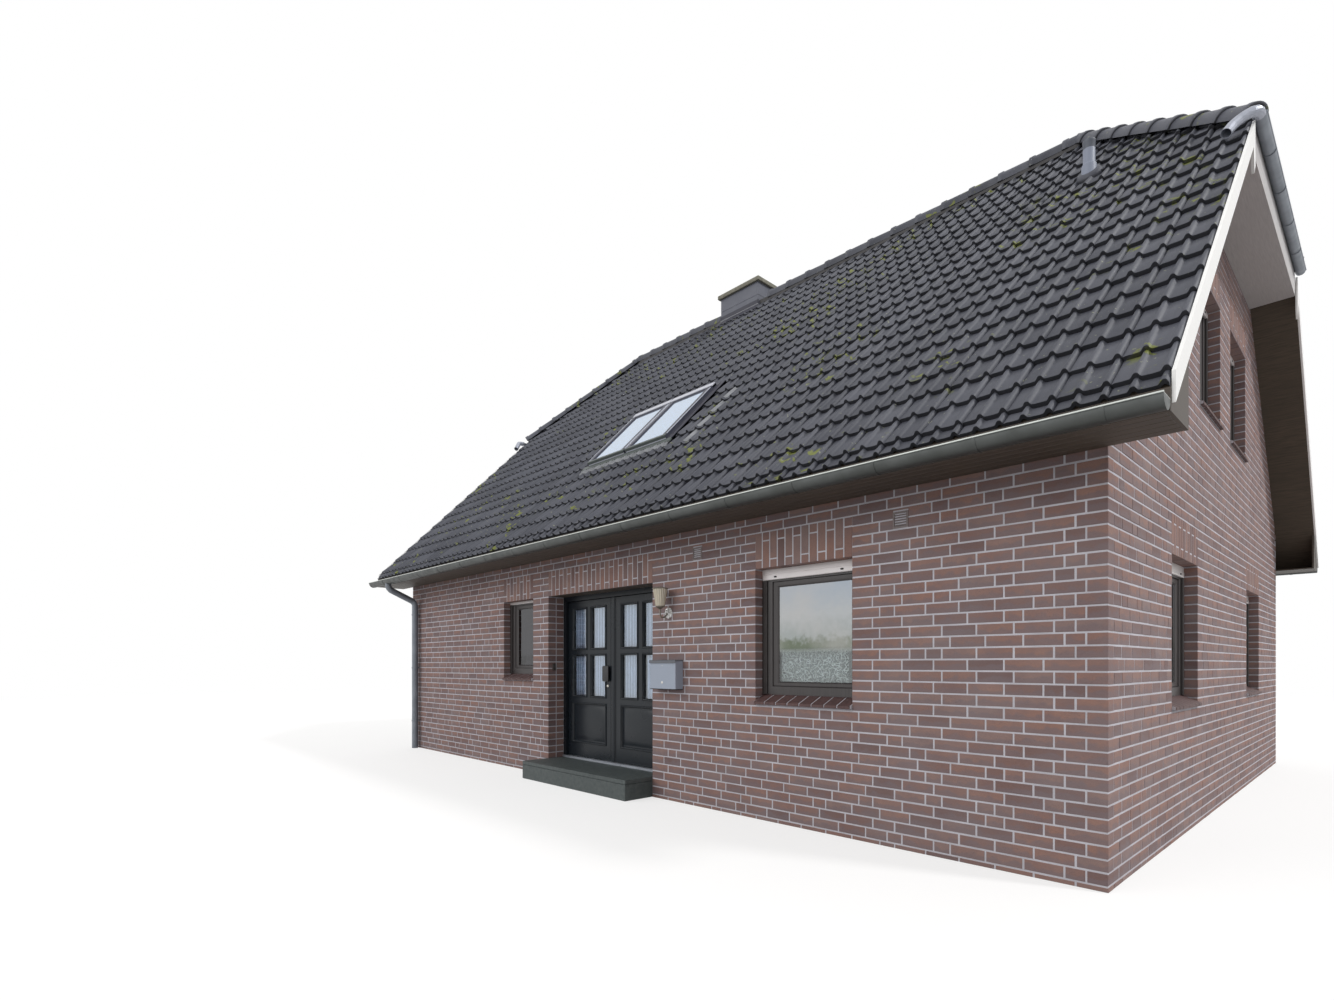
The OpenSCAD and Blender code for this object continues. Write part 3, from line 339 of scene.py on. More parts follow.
class Graph:
    """Short calls for the nodes of a material or of the world."""

    def __init__(self, owner, shader, **values):
        self.owner = owner
        owner.use_nodes = True
        self.tree = owner.node_tree
        self.shader = self.tree.nodes[shader]
        for key, value in values.items():
            self.set(key.replace("_", " "), value)

    def node(self, kind, inputs=None, **settings):
        node = self.tree.nodes.new(kind)
        for key, value in settings.items():
            setattr(node, key, value)
        for key, value in (inputs or {}).items():
            self.feed(node.inputs[key], value)
        return node

    def feed(self, socket, value):
        if isinstance(value, bpy.types.NodeSocket):
            self.tree.links.new(value, socket)
        elif isinstance(value, tuple) and len(value) == 3 and socket.type == "RGBA":
            socket.default_value = (*value, 1.0)
        else:
            socket.default_value = value

    def set(self, key, value):
        self.feed(self.shader.inputs[key], value)

    def scaled(self, x, y, z):
        return self.node("ShaderNodeMapping", {"Vector": self.place, "Scale": (x, y, z)}).outputs[0]

    def noise(self, scale, detail=3.0, vector=None):
        inputs = {"Vector": vector or self.place, "Scale": scale, "Detail": detail}
        return self.node("ShaderNodeTexNoise", inputs).outputs["Fac"]

    def seen(self):
        """1 where the camera sees the point, also through glass and in mirror images."""
        path = self.node("ShaderNodeLightPath").outputs
        also = self.math("MAXIMUM", path["Is Glossy Ray"], path["Is Transmission Ray"])
        return self.math("MAXIMUM", path["Is Camera Ray"], also)

    def axis(self, name):
        return self.node("ShaderNodeSeparateXYZ", {"Vector": self.place}).outputs[name]

    def tint(self):
        return self.node("ShaderNodeAttribute", attribute_name="tint").outputs["Fac"]

    def math(self, operation, a, b=0.0):
        return self.node("ShaderNodeMath", {0: a, 1: b}, operation=operation).outputs[0]

    def span(self, value, low, high, to_low=0.0, to_high=1.0):
        inputs = {"Value": value, "From Min": low, "From Max": high, "To Min": to_low, "To Max": to_high}
        return self.node("ShaderNodeMapRange", inputs).outputs["Result"]

    def mix(self, factor, a, b):
        node = self.node("ShaderNodeMix", data_type="RGBA")
        for key, value in (("Factor", factor), ("A", a), ("B", b)):
            self.feed(node.inputs[key], value)
        return node.outputs["Result"]

    def ramp(self, value, *stops):
        node = self.node("ShaderNodeValToRGB", {"Fac": value})
        elements = node.color_ramp.elements
        while len(elements) < len(stops):
            elements.new(0.5)
        for element, (position, colour) in zip(elements, stops):
            element.position = position
            element.color = (*colour, 1.0)
        return node.outputs["Color"]

    def bump(self, height, distance, strength=1.0):
        inputs = {"Height": height, "Distance": distance, "Strength": strength}
        if self.shader.inputs["Normal"].links:
            inputs["Normal"] = self.shader.inputs["Normal"].links[0].from_socket
        self.set("Normal", self.node("ShaderNodeBump", inputs).outputs["Normal"])


def surface(name, **values):
    """The graph of a new material. Its place is the point in the object's own coordinates."""
    g = Graph(bpy.data.materials.new(name), "Principled BSDF", **values)
    g.place = g.node("ShaderNodeTexCoord").outputs["Object"]
    return g


# Materials
def brick_material(name, two_tone):
    g = surface(name, Roughness=0.82)
    fired = g.ramp(g.tint(), (0.0, (0.165, 0.100, 0.092)), (0.35, (0.250, 0.142, 0.118)),
                   (0.7, (0.300, 0.165, 0.128)), (1.0, (0.260, 0.175, 0.158)))
    blotch = g.noise(9.0, 4.0)
    colour = g.mix(g.span(blotch, 0.35, 0.7, 0.0, 0.45), fired, (0.175, 0.118, 0.118))
    if two_tone:
        level = g.math("FRACT", g.math("DIVIDE", g.math("SUBTRACT", g.axis("Z"), LINTEL_Z - 10), COURSE))
        wavy = g.math("ADD", level, g.span(g.noise(14.0, 2.0), 0.3, 0.7, -0.22, 0.22))
        colour = g.mix(g.span(wavy, 0.30, 0.52, 0.6, 0.0), colour, (0.175, 0.136, 0.148))
    speck = g.noise(260.0, 2.0)
    colour = g.mix(g.span(speck, 0.56, 0.72, 0.0, 0.5), colour, (0.07, 0.05, 0.05))
    g.set("Base Color", g.mix(g.span(g.noise(2.2, 2.0), 0.35, 0.7, 0.0, 0.18), colour, (0.30, 0.27, 0.28)))
    g.bump(g.noise(55.0, 5.0), 0.003, 0.7)
    g.bump(speck, 0.001, 0.6)
    return g.owner


def mortar_material():
    g = surface("mortar", Roughness=0.92)
    shade = g.ramp(g.noise(6.0, 4.0), (0.3, (0.50, 0.485, 0.525)), (0.7, (0.62, 0.605, 0.655)))
    g.set("Base Color", g.mix(g.span(g.noise(300.0, 2.0), 0.5, 0.7, 0.0, 0.3), shade, (0.24, 0.22, 0.22)))
    g.bump(g.noise(420.0, 3.0), 0.0012)
    return g.owner


def tile_material():
    g = surface("roof_tile", Roughness=0.60)
    body = g.ramp(g.tint(), (0.0, (0.047, 0.050, 0.066)), (0.5, (0.062, 0.066, 0.085)),
                  (1.0, (0.081, 0.085, 0.107)))
    streak = g.noise(3.0, 5.0, g.scaled(2.4, 0.5, 0.5))
    body = g.mix(g.span(streak, 0.4, 0.75, 0.0, 0.35), body, (0.120, 0.124, 0.145))
    grain = g.noise(190.0, 3.0)
    body = g.mix(g.span(grain, 0.55, 0.75, 0.0, 0.35), body, (0.17, 0.175, 0.19))
    moss = g.math("MULTIPLY", g.span(g.noise(0.9, 2.0), 0.53, 0.57), g.span(g.noise(9.0, 6.0), 0.60, 0.63))
    body = g.mix(moss, body, (0.165, 0.185, 0.040))
    lichen = g.span(g.noise(31.0, 2.0), 0.70, 0.74)
    body = g.mix(lichen, body, (0.23, 0.24, 0.18))
    # Painted shade: faces that look downwards, the fronts of the tile noses most of all, are darkened almost
    # to black.
    normal = g.node("ShaderNodeNewGeometry").outputs["Normal"]
    facing = g.node("ShaderNodeSeparateXYZ", {"Vector": normal}).outputs["Z"]
    g.set("Base Color", g.mix(g.span(facing, -0.5, -0.15, 0.8, 0.0), body, (0.009, 0.009, 0.011)))
    g.bump(grain, 0.0012, 0.7)
    g.bump(moss, 0.006, 0.6)
    return g.owner


def wood_material(name, dark, light, grain_axis, rough=0.6, grooves=0.0008):
    """Painted or stained boards with their grain along one axis."""
    g = surface(name, Roughness=rough)
    stretch = {"X": (1.5, 30, 30), "Y": (30, 1.5, 30), "Z": (30, 30, 1.5)}[grain_axis]
    grain = g.noise(4.0, 6.0, g.scaled(*stretch))
    g.set("Base Color", g.mix(g.span(g.noise(1.7, 3.0), 0.3, 0.7, 0.0, 0.5),
                              g.ramp(grain, (0.3, dark), (0.7, light)), dark))
    g.bump(grain, grooves, 0.6)
    return g.owner


def zinc_material(name, base, dirt, metallic=0.45, rough=0.45):
    g = surface(name, Metallic=metallic)
    bloom = g.noise(5.0, 5.0)
    g.set("Base Color", g.mix(g.span(bloom, 0.35, 0.7), base, dirt))
    g.set("Roughness", g.span(g.noise(16.0, 4.0), 0.3, 0.7, rough - 0.08, rough + 0.12))
    g.bump(g.noise(40.0, 3.0), 0.0006, 0.5)
    return g.owner


def painted_material(name, colour, worn, rough=0.4, shine=0.5):
    g = surface(name, Specular_IOR_Level=shine)
    g.set("Base Color", g.mix(g.span(g.noise(7.0, 5.0), 0.45, 0.75, 0.0, 0.55), colour, worn))
    g.set("Roughness", g.span(g.noise(3.0, 3.0), 0.3, 0.7, rough - 0.05, rough + 0.06))
    return g.owner


def gutter_material():
    """Weathered zinc, with a painted highlight along its rim and painted shade over its lower part."""
    g = surface("gutter_zinc", Metallic=0.4)
    body = g.mix(g.span(g.noise(5.0, 5.0), 0.35, 0.7), (0.115, 0.124, 0.122), (0.072, 0.078, 0.074))
    z = g.axis("Z")
    # Painted highlight: the top 4 mm of the rim are coloured bright.
    rim = g.span(z, GUTTER_RIM - 0.004, GUTTER_RIM)
    # Painted shade: the zinc darkens towards the bottom of the gutter.
    body = g.mix(g.span(z, GUTTER_RIM - 0.075, GUTTER_RIM - 0.02, 0.75, 0.0), body, (0.030, 0.033, 0.030))
    g.set("Base Color", g.mix(rim, body, (0.60, 0.63, 0.60)))
    g.set("Roughness", g.span(g.noise(16.0, 4.0), 0.3, 0.7, 0.38, 0.55))
    return g.owner


def stone_material(name, dark, light, scale=40.0, rough=0.85, relief=0.002):
    g = surface(name, Roughness=rough)
    body = g.ramp(g.noise(scale, 6.0), (0.3, dark), (0.7, light))
    g.set("Base Color", g.mix(g.span(g.noise(2.5, 3.0), 0.4, 0.7, 0.0, 0.5), body, dark))
    g.bump(g.noise(scale * 3, 4.0), relief, 0.7)
    return g.owner


def glass_material(name, tint, metallic, rough=0.03):
    g = surface(name, Metallic=metallic, Transmission_Weight=1.0, Roughness=rough, IOR=1.5)
    # Painted reflection: the pale blue colour, mirrored by the metallic share, stands in for the sky.
    g.set("Base Color", g.mix(g.noise(1.3, 2.0), tint, tuple(0.92 * c for c in tint)))
    g.bump(g.noise(1.8, 1.0), 0.004, 0.35)
    return g.owner


def ribbed_glass_material():
    """Cream glass of the lamp, pale in front and brown towards its sides."""
    g = surface("lamp_pane", Transmission_Weight=0.3, Roughness=0.22, IOR=1.5)
    facing = g.node("ShaderNodeLayerWeight", {"Blend": 0.35}).outputs["Facing"]
    g.set("Base Color", g.ramp(facing, (0.0, (0.90, 0.84, 0.70)), (0.35, (0.62, 0.54, 0.40)),
                               (0.8, (0.36, 0.28, 0.19))))
    return g.owner


def window_glass_material():
    """Glass with a painted reflection of a pale sky, mirrored through its metallic share. It mirrors little
    in front of the lace, under a painted dark band. Glass left of the middle of the house is painted darker
    and mirrors less.
    """
    g = surface("window_pane", Transmission_Weight=1.0, Roughness=0.02, IOR=1.5)
    z = g.axis("Z")
    wavy = g.math("ADD", z, g.span(g.noise(22.0, 4.0), 0.3, 0.7, -0.035, 0.035))
    share = g.span(z, LACE_TOP - 0.045, LACE_TOP + 0.01, 0.10, 0.80)
    # Painted reflection: from x = 0 to x = -1.3 and beyond, the glass turns dark and mirrors less.
    painted_reflection_x = g.span(g.axis("X"), -1.3, 0.0, 0.0, 1.0)
    g.set("Metallic", g.math("MULTIPLY", share, g.span(painted_reflection_x, 0.0, 1.0, 0.45, 1.0)))
    # Painted reflection: by height, a dark green band just over the lace, then a pale sky with clouds.
    height = g.span(wavy, LACE_TOP - 0.05, LACE_TOP + 0.65)
    sky = g.ramp(height, (0.0, (0.20, 0.24, 0.19)), (0.13, (0.19, 0.22, 0.16)), (0.22, (0.40, 0.43, 0.42)),
                 (0.50, (0.51, 0.53, 0.54)), (1.0, (0.40, 0.46, 0.54)))
    cloud = g.mix(g.span(g.noise(2.6, 3.0), 0.4, 0.65, 0.0, 0.5), sky, (0.56, 0.55, 0.54))
    whole = g.mix(g.span(z, LACE_TOP - 0.05, LACE_TOP, 0.0, 1.0), (0.72, 0.78, 0.78), cloud)
    g.set("Base Color", g.mix(painted_reflection_x, (0.135, 0.135, 0.145), whole))
    g.bump(g.noise(1.8, 1.0), 0.004, 0.3)
    return g.owner


def lace_material(name, holes):
    """White net: curling threads with light between them, or a closed cloth with painted shade in each fold.
    """
    g = surface(name, Roughness=0.8)
    if holes:
        g.set("Base Color", g.ramp(g.noise(35.0, 3.0), (0.3, (0.84, 0.86, 0.86)), (0.7, (0.95, 0.96, 0.96))))
        curl = g.math("ABSOLUTE", g.math("SUBTRACT", g.noise(26.0, 0.0), 0.5))
        drawn = g.span(curl, 0.035, 0.055, 1.0, 0.0)
        more = g.math("ABSOLUTE", g.math("SUBTRACT", g.noise(39.0, 0.0), 0.47))
        drawn = g.math("MAXIMUM", drawn, g.span(more, 0.020, 0.035, 1.0, 0.0))
        g.set("Alpha", g.math("MAXIMUM", drawn, 0.06))
    else:
        # Painted shade: the tint of each point darkens the cloth where it is folded deeper.
        shade = g.ramp(g.tint(), (0.0, (0.26, 0.31, 0.40)), (0.40, (0.50, 0.57, 0.69)),
                       (0.75, (0.70, 0.77, 0.88)), (1.0, (0.92, 0.95, 1.0)))
        g.set("Base Color", g.mix(g.span(g.noise(30.0, 2.0), 0.4, 0.7, 0.0, 0.15), shade, (0.25, 0.28, 0.34)))
    g.bump(g.noise(600.0, 1.0), 0.0004)
    return g.owner


BRICK = brick_material("brick", True)
SOLDIER_BRICK = brick_material("soldier_brick", False)
SILL_BRICK = stone_material("sill_brick", (0.058, 0.030, 0.030), (0.110, 0.056, 0.052), 30.0, 0.65)
MORTAR = mortar_material()
TILE = tile_material()
CAP_MORTAR = stone_material("cap_mortar", (0.050, 0.048, 0.050), (0.085, 0.082, 0.082), 60.0)
PLASTER = stone_material("plaster", (0.42, 0.41, 0.40), (0.50, 0.49, 0.47), 12.0, 0.9, 0.0008)
FLOOR_FINISH = stone_material("screed", (0.30, 0.29, 0.27), (0.42, 0.41, 0.39), 18.0)
DARK_BOARDS = wood_material("dark_boards", (0.030, 0.022, 0.016), (0.070, 0.048, 0.030), "X", 0.55)
ROUGH_TIMBER = wood_material("rough_timber", (0.055, 0.042, 0.030), (0.110, 0.082, 0.058), "X", 0.8)
HIP_BOARDS = wood_material("hip_boards", (0.460, 0.440, 0.436), (0.580, 0.560, 0.552), "Y", 0.5)
WHITE_BOARDS = wood_material("white_boards", (0.90, 0.895, 0.875), (0.95, 0.945, 0.93), "Y", 0.45)
GUTTER = gutter_material()
BRIGHT_ZINC = zinc_material("bright_zinc", (0.40, 0.42, 0.49), (0.31, 0.33, 0.38), 0.4, 0.42)
PIPE_ZINC = zinc_material("pipe_zinc", (0.245, 0.270, 0.310), (0.185, 0.205, 0.235), 0.3, 0.45)
LEAD = zinc_material("lead", (0.250, 0.258, 0.275), (0.170, 0.176, 0.190), 0.1, 0.6)
CLADDING = painted_material("chimney_cladding", (0.088, 0.094, 0.124), (0.112, 0.118, 0.148), 0.5)
CONCRETE = stone_material("concrete", (0.155, 0.150, 0.115), (0.290, 0.275, 0.225), 25.0)
SASH_METAL = painted_material("sash_metal", (0.042, 0.044, 0.064), (0.060, 0.062, 0.084), 0.35, 0.22)
COVER_METAL = painted_material("cover_metal", (0.50, 0.51, 0.57), (0.42, 0.43, 0.48), 0.4)
FOOT_METAL = painted_material("foot_metal", (0.105, 0.122, 0.118), (0.085, 0.098, 0.095), 0.5, 0.2)
TRIM_METAL = painted_material("trim_metal", (0.50, 0.52, 0.60), (0.40, 0.42, 0.50), 0.3)
SIDE_METAL = painted_material("side_metal", (0.062, 0.062, 0.080), (0.048, 0.048, 0.062), 0.5, 0.2)
VENT_PLASTIC = painted_material("vent_plastic", (0.235, 0.262, 0.335), (0.190, 0.212, 0.270), 0.5)
VENT_RIM = painted_material("vent_rim", (0.110, 0.122, 0.150), (0.085, 0.095, 0.115), 0.5)
DOOR_PAINT = painted_material("door_paint", (0.010, 0.014, 0.019), (0.013, 0.017, 0.022), 0.30, 0.32)
HANDLE_METAL = painted_material("handle_metal", (0.012, 0.012, 0.014), (0.030, 0.030, 0.032), 0.3)
LOCK_METAL = zinc_material("lock_metal", (0.72, 0.69, 0.62), (0.58, 0.55, 0.50), 0.5, 0.3)
THRESHOLD = zinc_material("threshold", (0.42, 0.45, 0.50), (0.32, 0.34, 0.38), 0.5, 0.35)
WINDOW_FRAME = wood_material("window_frame", (0.034, 0.029, 0.029), (0.054, 0.047, 0.047), "Z", 0.42, 0.0003)
GUIDE_RAIL = painted_material("guide_rail", (0.038, 0.033, 0.032), (0.052, 0.046, 0.045), 0.4)
SHUTTER_BOX = painted_material("shutter_box", (0.80, 0.76, 0.76), (0.70, 0.66, 0.64), 0.35)
STEP_STONE = stone_material("step_stone", (0.050, 0.062, 0.062), (0.088, 0.104, 0.103), 22.0, 0.6)
GRILLE = stone_material("air_brick", (0.215, 0.180, 0.178), (0.290, 0.250, 0.245), 90.0)
# Near black: the shutter stops, and painted shade in the air bricks, beside the door's meeting bar and under
# the mailbox.
BLACK_AND_SHADE = stone_material("black_parts_and_painted_shade", (0.012, 0.011, 0.011), (0.022, 0.020, 0.020), 40.0)
BRASS = zinc_material("lamp_brass", (0.30, 0.27, 0.22), (0.15, 0.13, 0.11), 0.5, 0.34)
CANDLE = painted_material("candle", (0.92, 0.86, 0.70), (0.86, 0.80, 0.64), 0.5)
MAILBOX_METAL = painted_material("mailbox_metal", (0.35, 0.395, 0.48), (0.33, 0.374, 0.455), 0.3)
LID_METAL = painted_material("lid_metal", (0.13, 0.14, 0.16), (0.11, 0.12, 0.14), 0.25)
BELL = painted_material("bell", (0.045, 0.035, 0.030), (0.080, 0.062, 0.050), 0.4)
PANE = window_glass_material()
# Painted reflection: the bluish colours of the door and roof window glass stand in for a reflected sky.
DOOR_PANE = glass_material("door_pane", (0.78, 0.85, 0.93), 0.15)
ROOF_PANE = glass_material("roof_pane", (0.62, 0.76, 0.95), 0.75)
LAMP_PANE = ribbed_glass_material()
ROSETTE = zinc_material("lamp_rosette", (0.62, 0.62, 0.62), (0.30, 0.29, 0.28), 0.5, 0.3)
NET = lace_material("net", False)
LACE = lace_material("lace", True)


# Brickwork
BRICK_FACES = [[4, 5, 6, 7], [3, 2, 1, 0], [0, 1, 9, 8], [1, 2, 10, 9], [2, 3, 11, 10], [3, 0, 8, 11],
               [8, 9, 5, 4], [9, 10, 6, 5], [10, 11, 7, 6], [11, 8, 4, 7]]


def add_brick(shape, x0, x1, z0, z1, near, far, place=None):
    """One brick with eased edges round its face."""
    b = BRICK_BEVEL
    near += rng.uniform(-0.0012, 0.0012)
    back = [(x0, far, z0), (x1, far, z0), (x1, far, z1), (x0, far, z1)]
    face = [(x0 + b, near, z0 + b), (x1 - b, near, z0 + b), (x1 - b, near, z1 - b), (x0 + b, near, z1 - b)]
    edge = [(x0, near + b, z0), (x1, near + b, z0), (x1, near + b, z1), (x0, near + b, z1)]
    shape.add(back + face + edge, BRICK_FACES, rng.random(), place)


def free_stretches(x0, x1, z0, z1, holes):
    """The stretches of a course that its openings leave, each with its own height."""
    cuts = [h for h in holes if h[2] < z1 and h[3] > z0 and h[0] < x1 and h[1] > x0]
    spans, least = [], 0.02
    start = x0
    for h in sorted(cuts):
        if h[0] - start > least:
            spans.append((start, h[0], z0, z1))
        if h[2] - z0 > least:
            spans.append((h[0], h[1], z0, h[2]))
        if z1 - h[3] > least:
            spans.append((h[0], h[1], h[3] + BED, z1))
        start = h[1]
    if x1 - start > least:
        spans.append((start, x1, z0, z1))
    return spans


def lay_stretch(x0, x1, first, below):
    """Joints between x0 and x1, in quarters of a brick, that keep off the joints below."""
    units = max(1, round((x1 - x0 + JOINT) / QUARTER))
    unit = (x1 - x0 + JOINT) / units
    best, best_score = None, None
    tries, clear = 10, 0.03
    for _ in range(tries):
        ends = [0]
        while ends[-1] < units:
            rest = units - ends[-1]
            sizes = [s for s in (4, 4, 4, 4, 4, 4, 2, 3) if rest - s != 1 and s <= rest] or [rest]
            if len(ends) == 1 and first < rest - 1:
                sizes = [first]
            free = [s for s in sizes if all(abs(x0 + (ends[-1] + s) * unit - b) > clear for b in below)]
            ends.append(ends[-1] + rng.choice(free or sizes))
        met = sum(any(abs(x0 + e * unit - b) < clear for b in below) for e in ends[1:-1])
        odd = sum(b - a == 3 for a, b in zip(ends[1:-2], ends[2:-1]))
        score = 3 * met + odd
        if best is None or score < best_score:
            best, best_score = ends, score
    return [x0 + e * unit for e in best]


def lay_courses(z_top, half, holes, raked):
    """All courses of one wall. Corners alternate, so that each brick turns the corner once."""
    shape = Shape()
    corner = LEAF_T + JOINT
    below = []
    for j in range(-LOWEST_COURSE, math.ceil((z_top - LINTEL_Z) / COURSE)):
        z0 = LINTEL_Z + COURSE * j
        z1 = min(z0 + COURSE - BED, z_top)
        z0 = max(z0, 0.0)
        whole = (j % 2 == 0) != raked
        reach = half if whole else half - corner
        if raked:
            reach = min(reach, rake_at(z0))
        joints = []
        for x0, x1, low, high in free_stretches(-reach, reach, z0, z1, holes):
            edges = lay_stretch(x0, x1, 4 if whole else 3, below)
            joints += edges
            for a, b in zip(edges[:-1], edges[1:]):
                add_brick(shape, a, b - JOINT, low, high, 0.0, LEAF_T)
        below = joints
    return shape


def soldier_panel(shape, window, place):
    """Bricks on end over an opening, long below short and short below long by turns."""
    width = window[1] - window[0] + JOINT
    count = round(width / COURSE)
    pitch = width / count
    short = SOLDIER_H - LONG_SOLDIER - BED
    z = window[3]
    for k in range(count):
        x0 = window[0] + k * pitch
        split = z + (LONG_SOLDIER if k % 2 else short)
        for low, high in ((z, split), (split + BED, z + SOLDIER_H)):
            add_brick(shape, x0, x0 + pitch - JOINT, low, high, 0.0, LEAF_T, place)


def opening(window):
    return (window["x0"], window["x1"], window["z0"] - SILL_H, window["z1"])


def rake_at(z):
    """Half the width of a gable at a height, under the overhang of the verges."""
    return (RIDGE_Z - VERGE_DROP - z) / math.tan(PITCH)


def wall_outline(half, top, raked):
    if not raked:
        return rect_loop(-half, 0, half, top)
    knee = RIDGE_Z - VERGE_DROP - half * math.tan(PITCH)
    peak = rake_at(top)
    return [(-half, 0), (half, 0), (half, knee), (peak, top), (-peak, top), (-half, knee)]


def build_wall(name, place, half, top, openings, extra_holes, raked, nodes):
    """The brick leaf, its mortar and the plastered leaf behind it."""
    panels = [(o[0], o[1], o[3], o[3] + SOLDIER_H) for o in openings]
    brick_top = HIP_SOFFIT_Z + 0.02 if raked else SOFFIT_Z + 0.03
    bricks = lay_courses(brick_top, half, openings + panels + extra_holes, raked)
    if raked:
        peak = Vector((0, 0, RIDGE_Z - VERGE_DROP))
        normals = [Vector((side * math.sin(PITCH), 0, math.cos(PITCH))) for side in (-1, 1)]
        bricks = clipped(bricks, [(peak, n) for n in normals])
    piece(name + "_bricks", Shape().add_shape(bricks, place), BRICK, replaces=nodes)

    soldiers = Shape()
    for o in openings:
        soldier_panel(soldiers, o, place)
    piece(name + "_lintels", soldiers, SOLDIER_BRICK)

    start = LEAF_T + LEAF_GAP
    mortar_half = half - LEAF_T - LEAF_GAP if raked else half - MORTAR_IN
    mortar, plaster = Shape(), Shape()
    mortar.add(*wall_plate(mortar_half, top, raked, openings, MORTAR_IN, MORTAR_IN, start), 0.5, place)
    inner = (half - LEAF_T - 0.01, top, raked, openings, 0.0)
    doors = [o for o in openings if o[2] <= 0]
    if doors:
        build_reveal(mortar, doors[0])
        plaster.add(*wall_plate(*inner, start, DOOR_REVEAL, RETURN_T), 0.5, place)
        start = DOOR_REVEAL
    plaster.add(*wall_plate(*inner, start, WALL_T), 0.5, place)
    piece(name + "_mortar", mortar, MORTAR)
    piece(name + "_plaster", plaster, PLASTER)


def wall_plate(half, top, raked, openings, inset, near, far, door_inset=None):
    """One layer of a wall between two depths, with its windows and its doorway cut out."""
    outline = wall_outline(half, top, raked)
    through = []
    for o in openings:
        if o[2] > 0:
            through.append(rect_loop(o[0] - inset, o[2], o[1] + inset, o[3] + inset))
        else:
            by = inset if door_inset is None else door_inset
            outline = notched(outline, o[0] - by, o[1] + by, o[3] + by)
    return plate(outline, through, near, far)


def build_reveal(mortar, door):
    """Bricks that turn the corner into the doorway, the mortar round them and the dark boards over it."""
    bricks = Shape()
    start, brick_d = LEAF_T + JOINT, 0.09
    for x, turn, near, far in ((door[0], 90, start, DOOR_REVEAL), (door[1], -90, -DOOR_REVEAL, -start)):
        place = Matrix.Translation((x, -HALF_D, 0)) @ turn_z(turn)
        for j in range(-DOOR_COURSES, 0):
            z0 = LINTEL_Z + COURSE * j
            add_brick(bricks, near, far - 0.001, z0, z0 + COURSE - BED, 0.0, brick_d, place)
    piece("doorway_bricks", bricks, SOLDIER_BRICK)
    deep = (LEAF_T + LEAF_GAP - HALF_D, DOOR_REVEAL - HALF_D)
    out = RETURN_T - 0.0005
    for a, b in ((door[0] - out, door[0] - MORTAR_IN), (door[1] + MORTAR_IN, door[1] + out)):
        add_box(mortar, (a, deep[0], 0.0), (b, deep[1], door[3] + out))
    over = Shape()
    board_w, pitch, thick = 0.075, 0.077, 0.012
    for k in range(3):
        y0 = 0.004 - HALF_D + k * pitch
        add_box(over, (door[0], y0, door[3] - 0.0005), (door[1], y0 + board_w, door[3] + thick), 0.003)
    piece("doorway_soffit", over, DARK_BOARDS)


def notched(outline, x0, x1, top):
    """Cuts a doorway up from the first edge of an outline, which runs along the ground."""
    first, second = outline[0], outline[1]
    return [first, (x0, first[1]), (x0, top), (x1, top), (x1, first[1]), second] + outline[2:]


# Roof tiles
TILE_W = 0.28225
GAUGE = 0.317
FIRST = 0.106
STEP = 0.034
LAP = 0.06
NOSE_T = 0.037
BACK_T = 0.010
SIDE_GAP = 0.004
SIDE_STEP = 0.006
TILE_L = GAUGE + LAP
SLOPE_ROWS, SLOPE_COLUMNS = 22, 40
HIP_ROWS, HIP_COLUMNS = 8, 12
# One wave of a tile: share of its width, height
WAVE = [(0.0, -0.0115), (0.10, -0.0135), (0.35, -0.0145), (0.60, -0.0135), (0.66, -0.007), (0.71, 0.004),
        (0.76, 0.012), (0.83, 0.0150), (0.90, 0.011), (0.95, -0.002)]


def tile_template():
    """One tile of two waves: X across it, Y up the slope, Z square to it."""
    wave_w = TILE_W / 2
    line = [((k + u) * wave_w, h) for k in (0, 1) for u, h in WAVE]
    line[0] = (0.0, WAVE[0][1] - SIDE_STEP)
    line.append((TILE_W - SIDE_GAP, WAVE[0][1] + 0.001))
    fall = STEP / GAUGE
    nose = 0.004
    rings = []
    for y, drop in ((0.0, -nose), (nose, 0.0), (TILE_L, 0.0)):
        rings.append([(x, y, h + drop - fall * y) for x, h in line])
    rings.append([(x, TILE_L, h - BACK_T - fall * TILE_L) for x, h in line])
    rings.append([(x, 0.003, h - NOSE_T - fall * 0.003) for x, h in line])
    points, faces = loft(rings + [rings[0]], close_ends=False, closed_ring=False)
    n = len(line)
    points = points[:5 * n]
    faces = [[i % (5 * n) for i in face] for face in faces]
    for k in (0, n - 1):
        side = [r * n + k for r in range(5)]
        faces.append(side if k else side[::-1])
    return np.array(points), faces


def wave_height(x):
    """Height of the tiles' wave across a main slope."""
    share = (x + VERGE_X) / (TILE_W / 2) % 1.0
    return float(np.interp(share, [u for u, _ in WAVE] + [1.0], [h for _, h in WAVE] + [WAVE[0][1]]))


def lay_tiles(columns, first_x, starts, keep):
    """Tiles as separate shapes, sorted into whole ones and ones to cut by what keep() says."""
    points, faces = tile_template()
    slack, slide = 0.0015, 0.003
    whole, to_cut = Shape(), {}
    for y, drop in starts:
        for column in range(columns):
            x = first_x + column * TILE_W
            kind = keep(x, y)
            if kind is None:
                continue
            lift = rng.uniform(-slack, slack)
            skew = rng.uniform(-slack, slack)
            moved = points + [x, y + rng.uniform(-slide, slide), drop + lift]
            moved[:, 2] += skew * (points[:, 0] / TILE_W - 0.5) * 2
            target = whole if kind == "whole" else to_cut.setdefault(kind, Shape())
            target.add(moved, faces, rng.random())
    return whole, to_cut


def course_starts(count, first):
    """Lower edges of the courses up a slope, and how far the lowest one lies under the others."""
    starts = [(0.0, -STEP * (1 - first / GAUGE) - 0.001)] if first < GAUGE else []
    offset = first if first < GAUGE else 0.0
    return starts + [(offset + GAUGE * i, 0.0) for i in range(count - len(starts))]


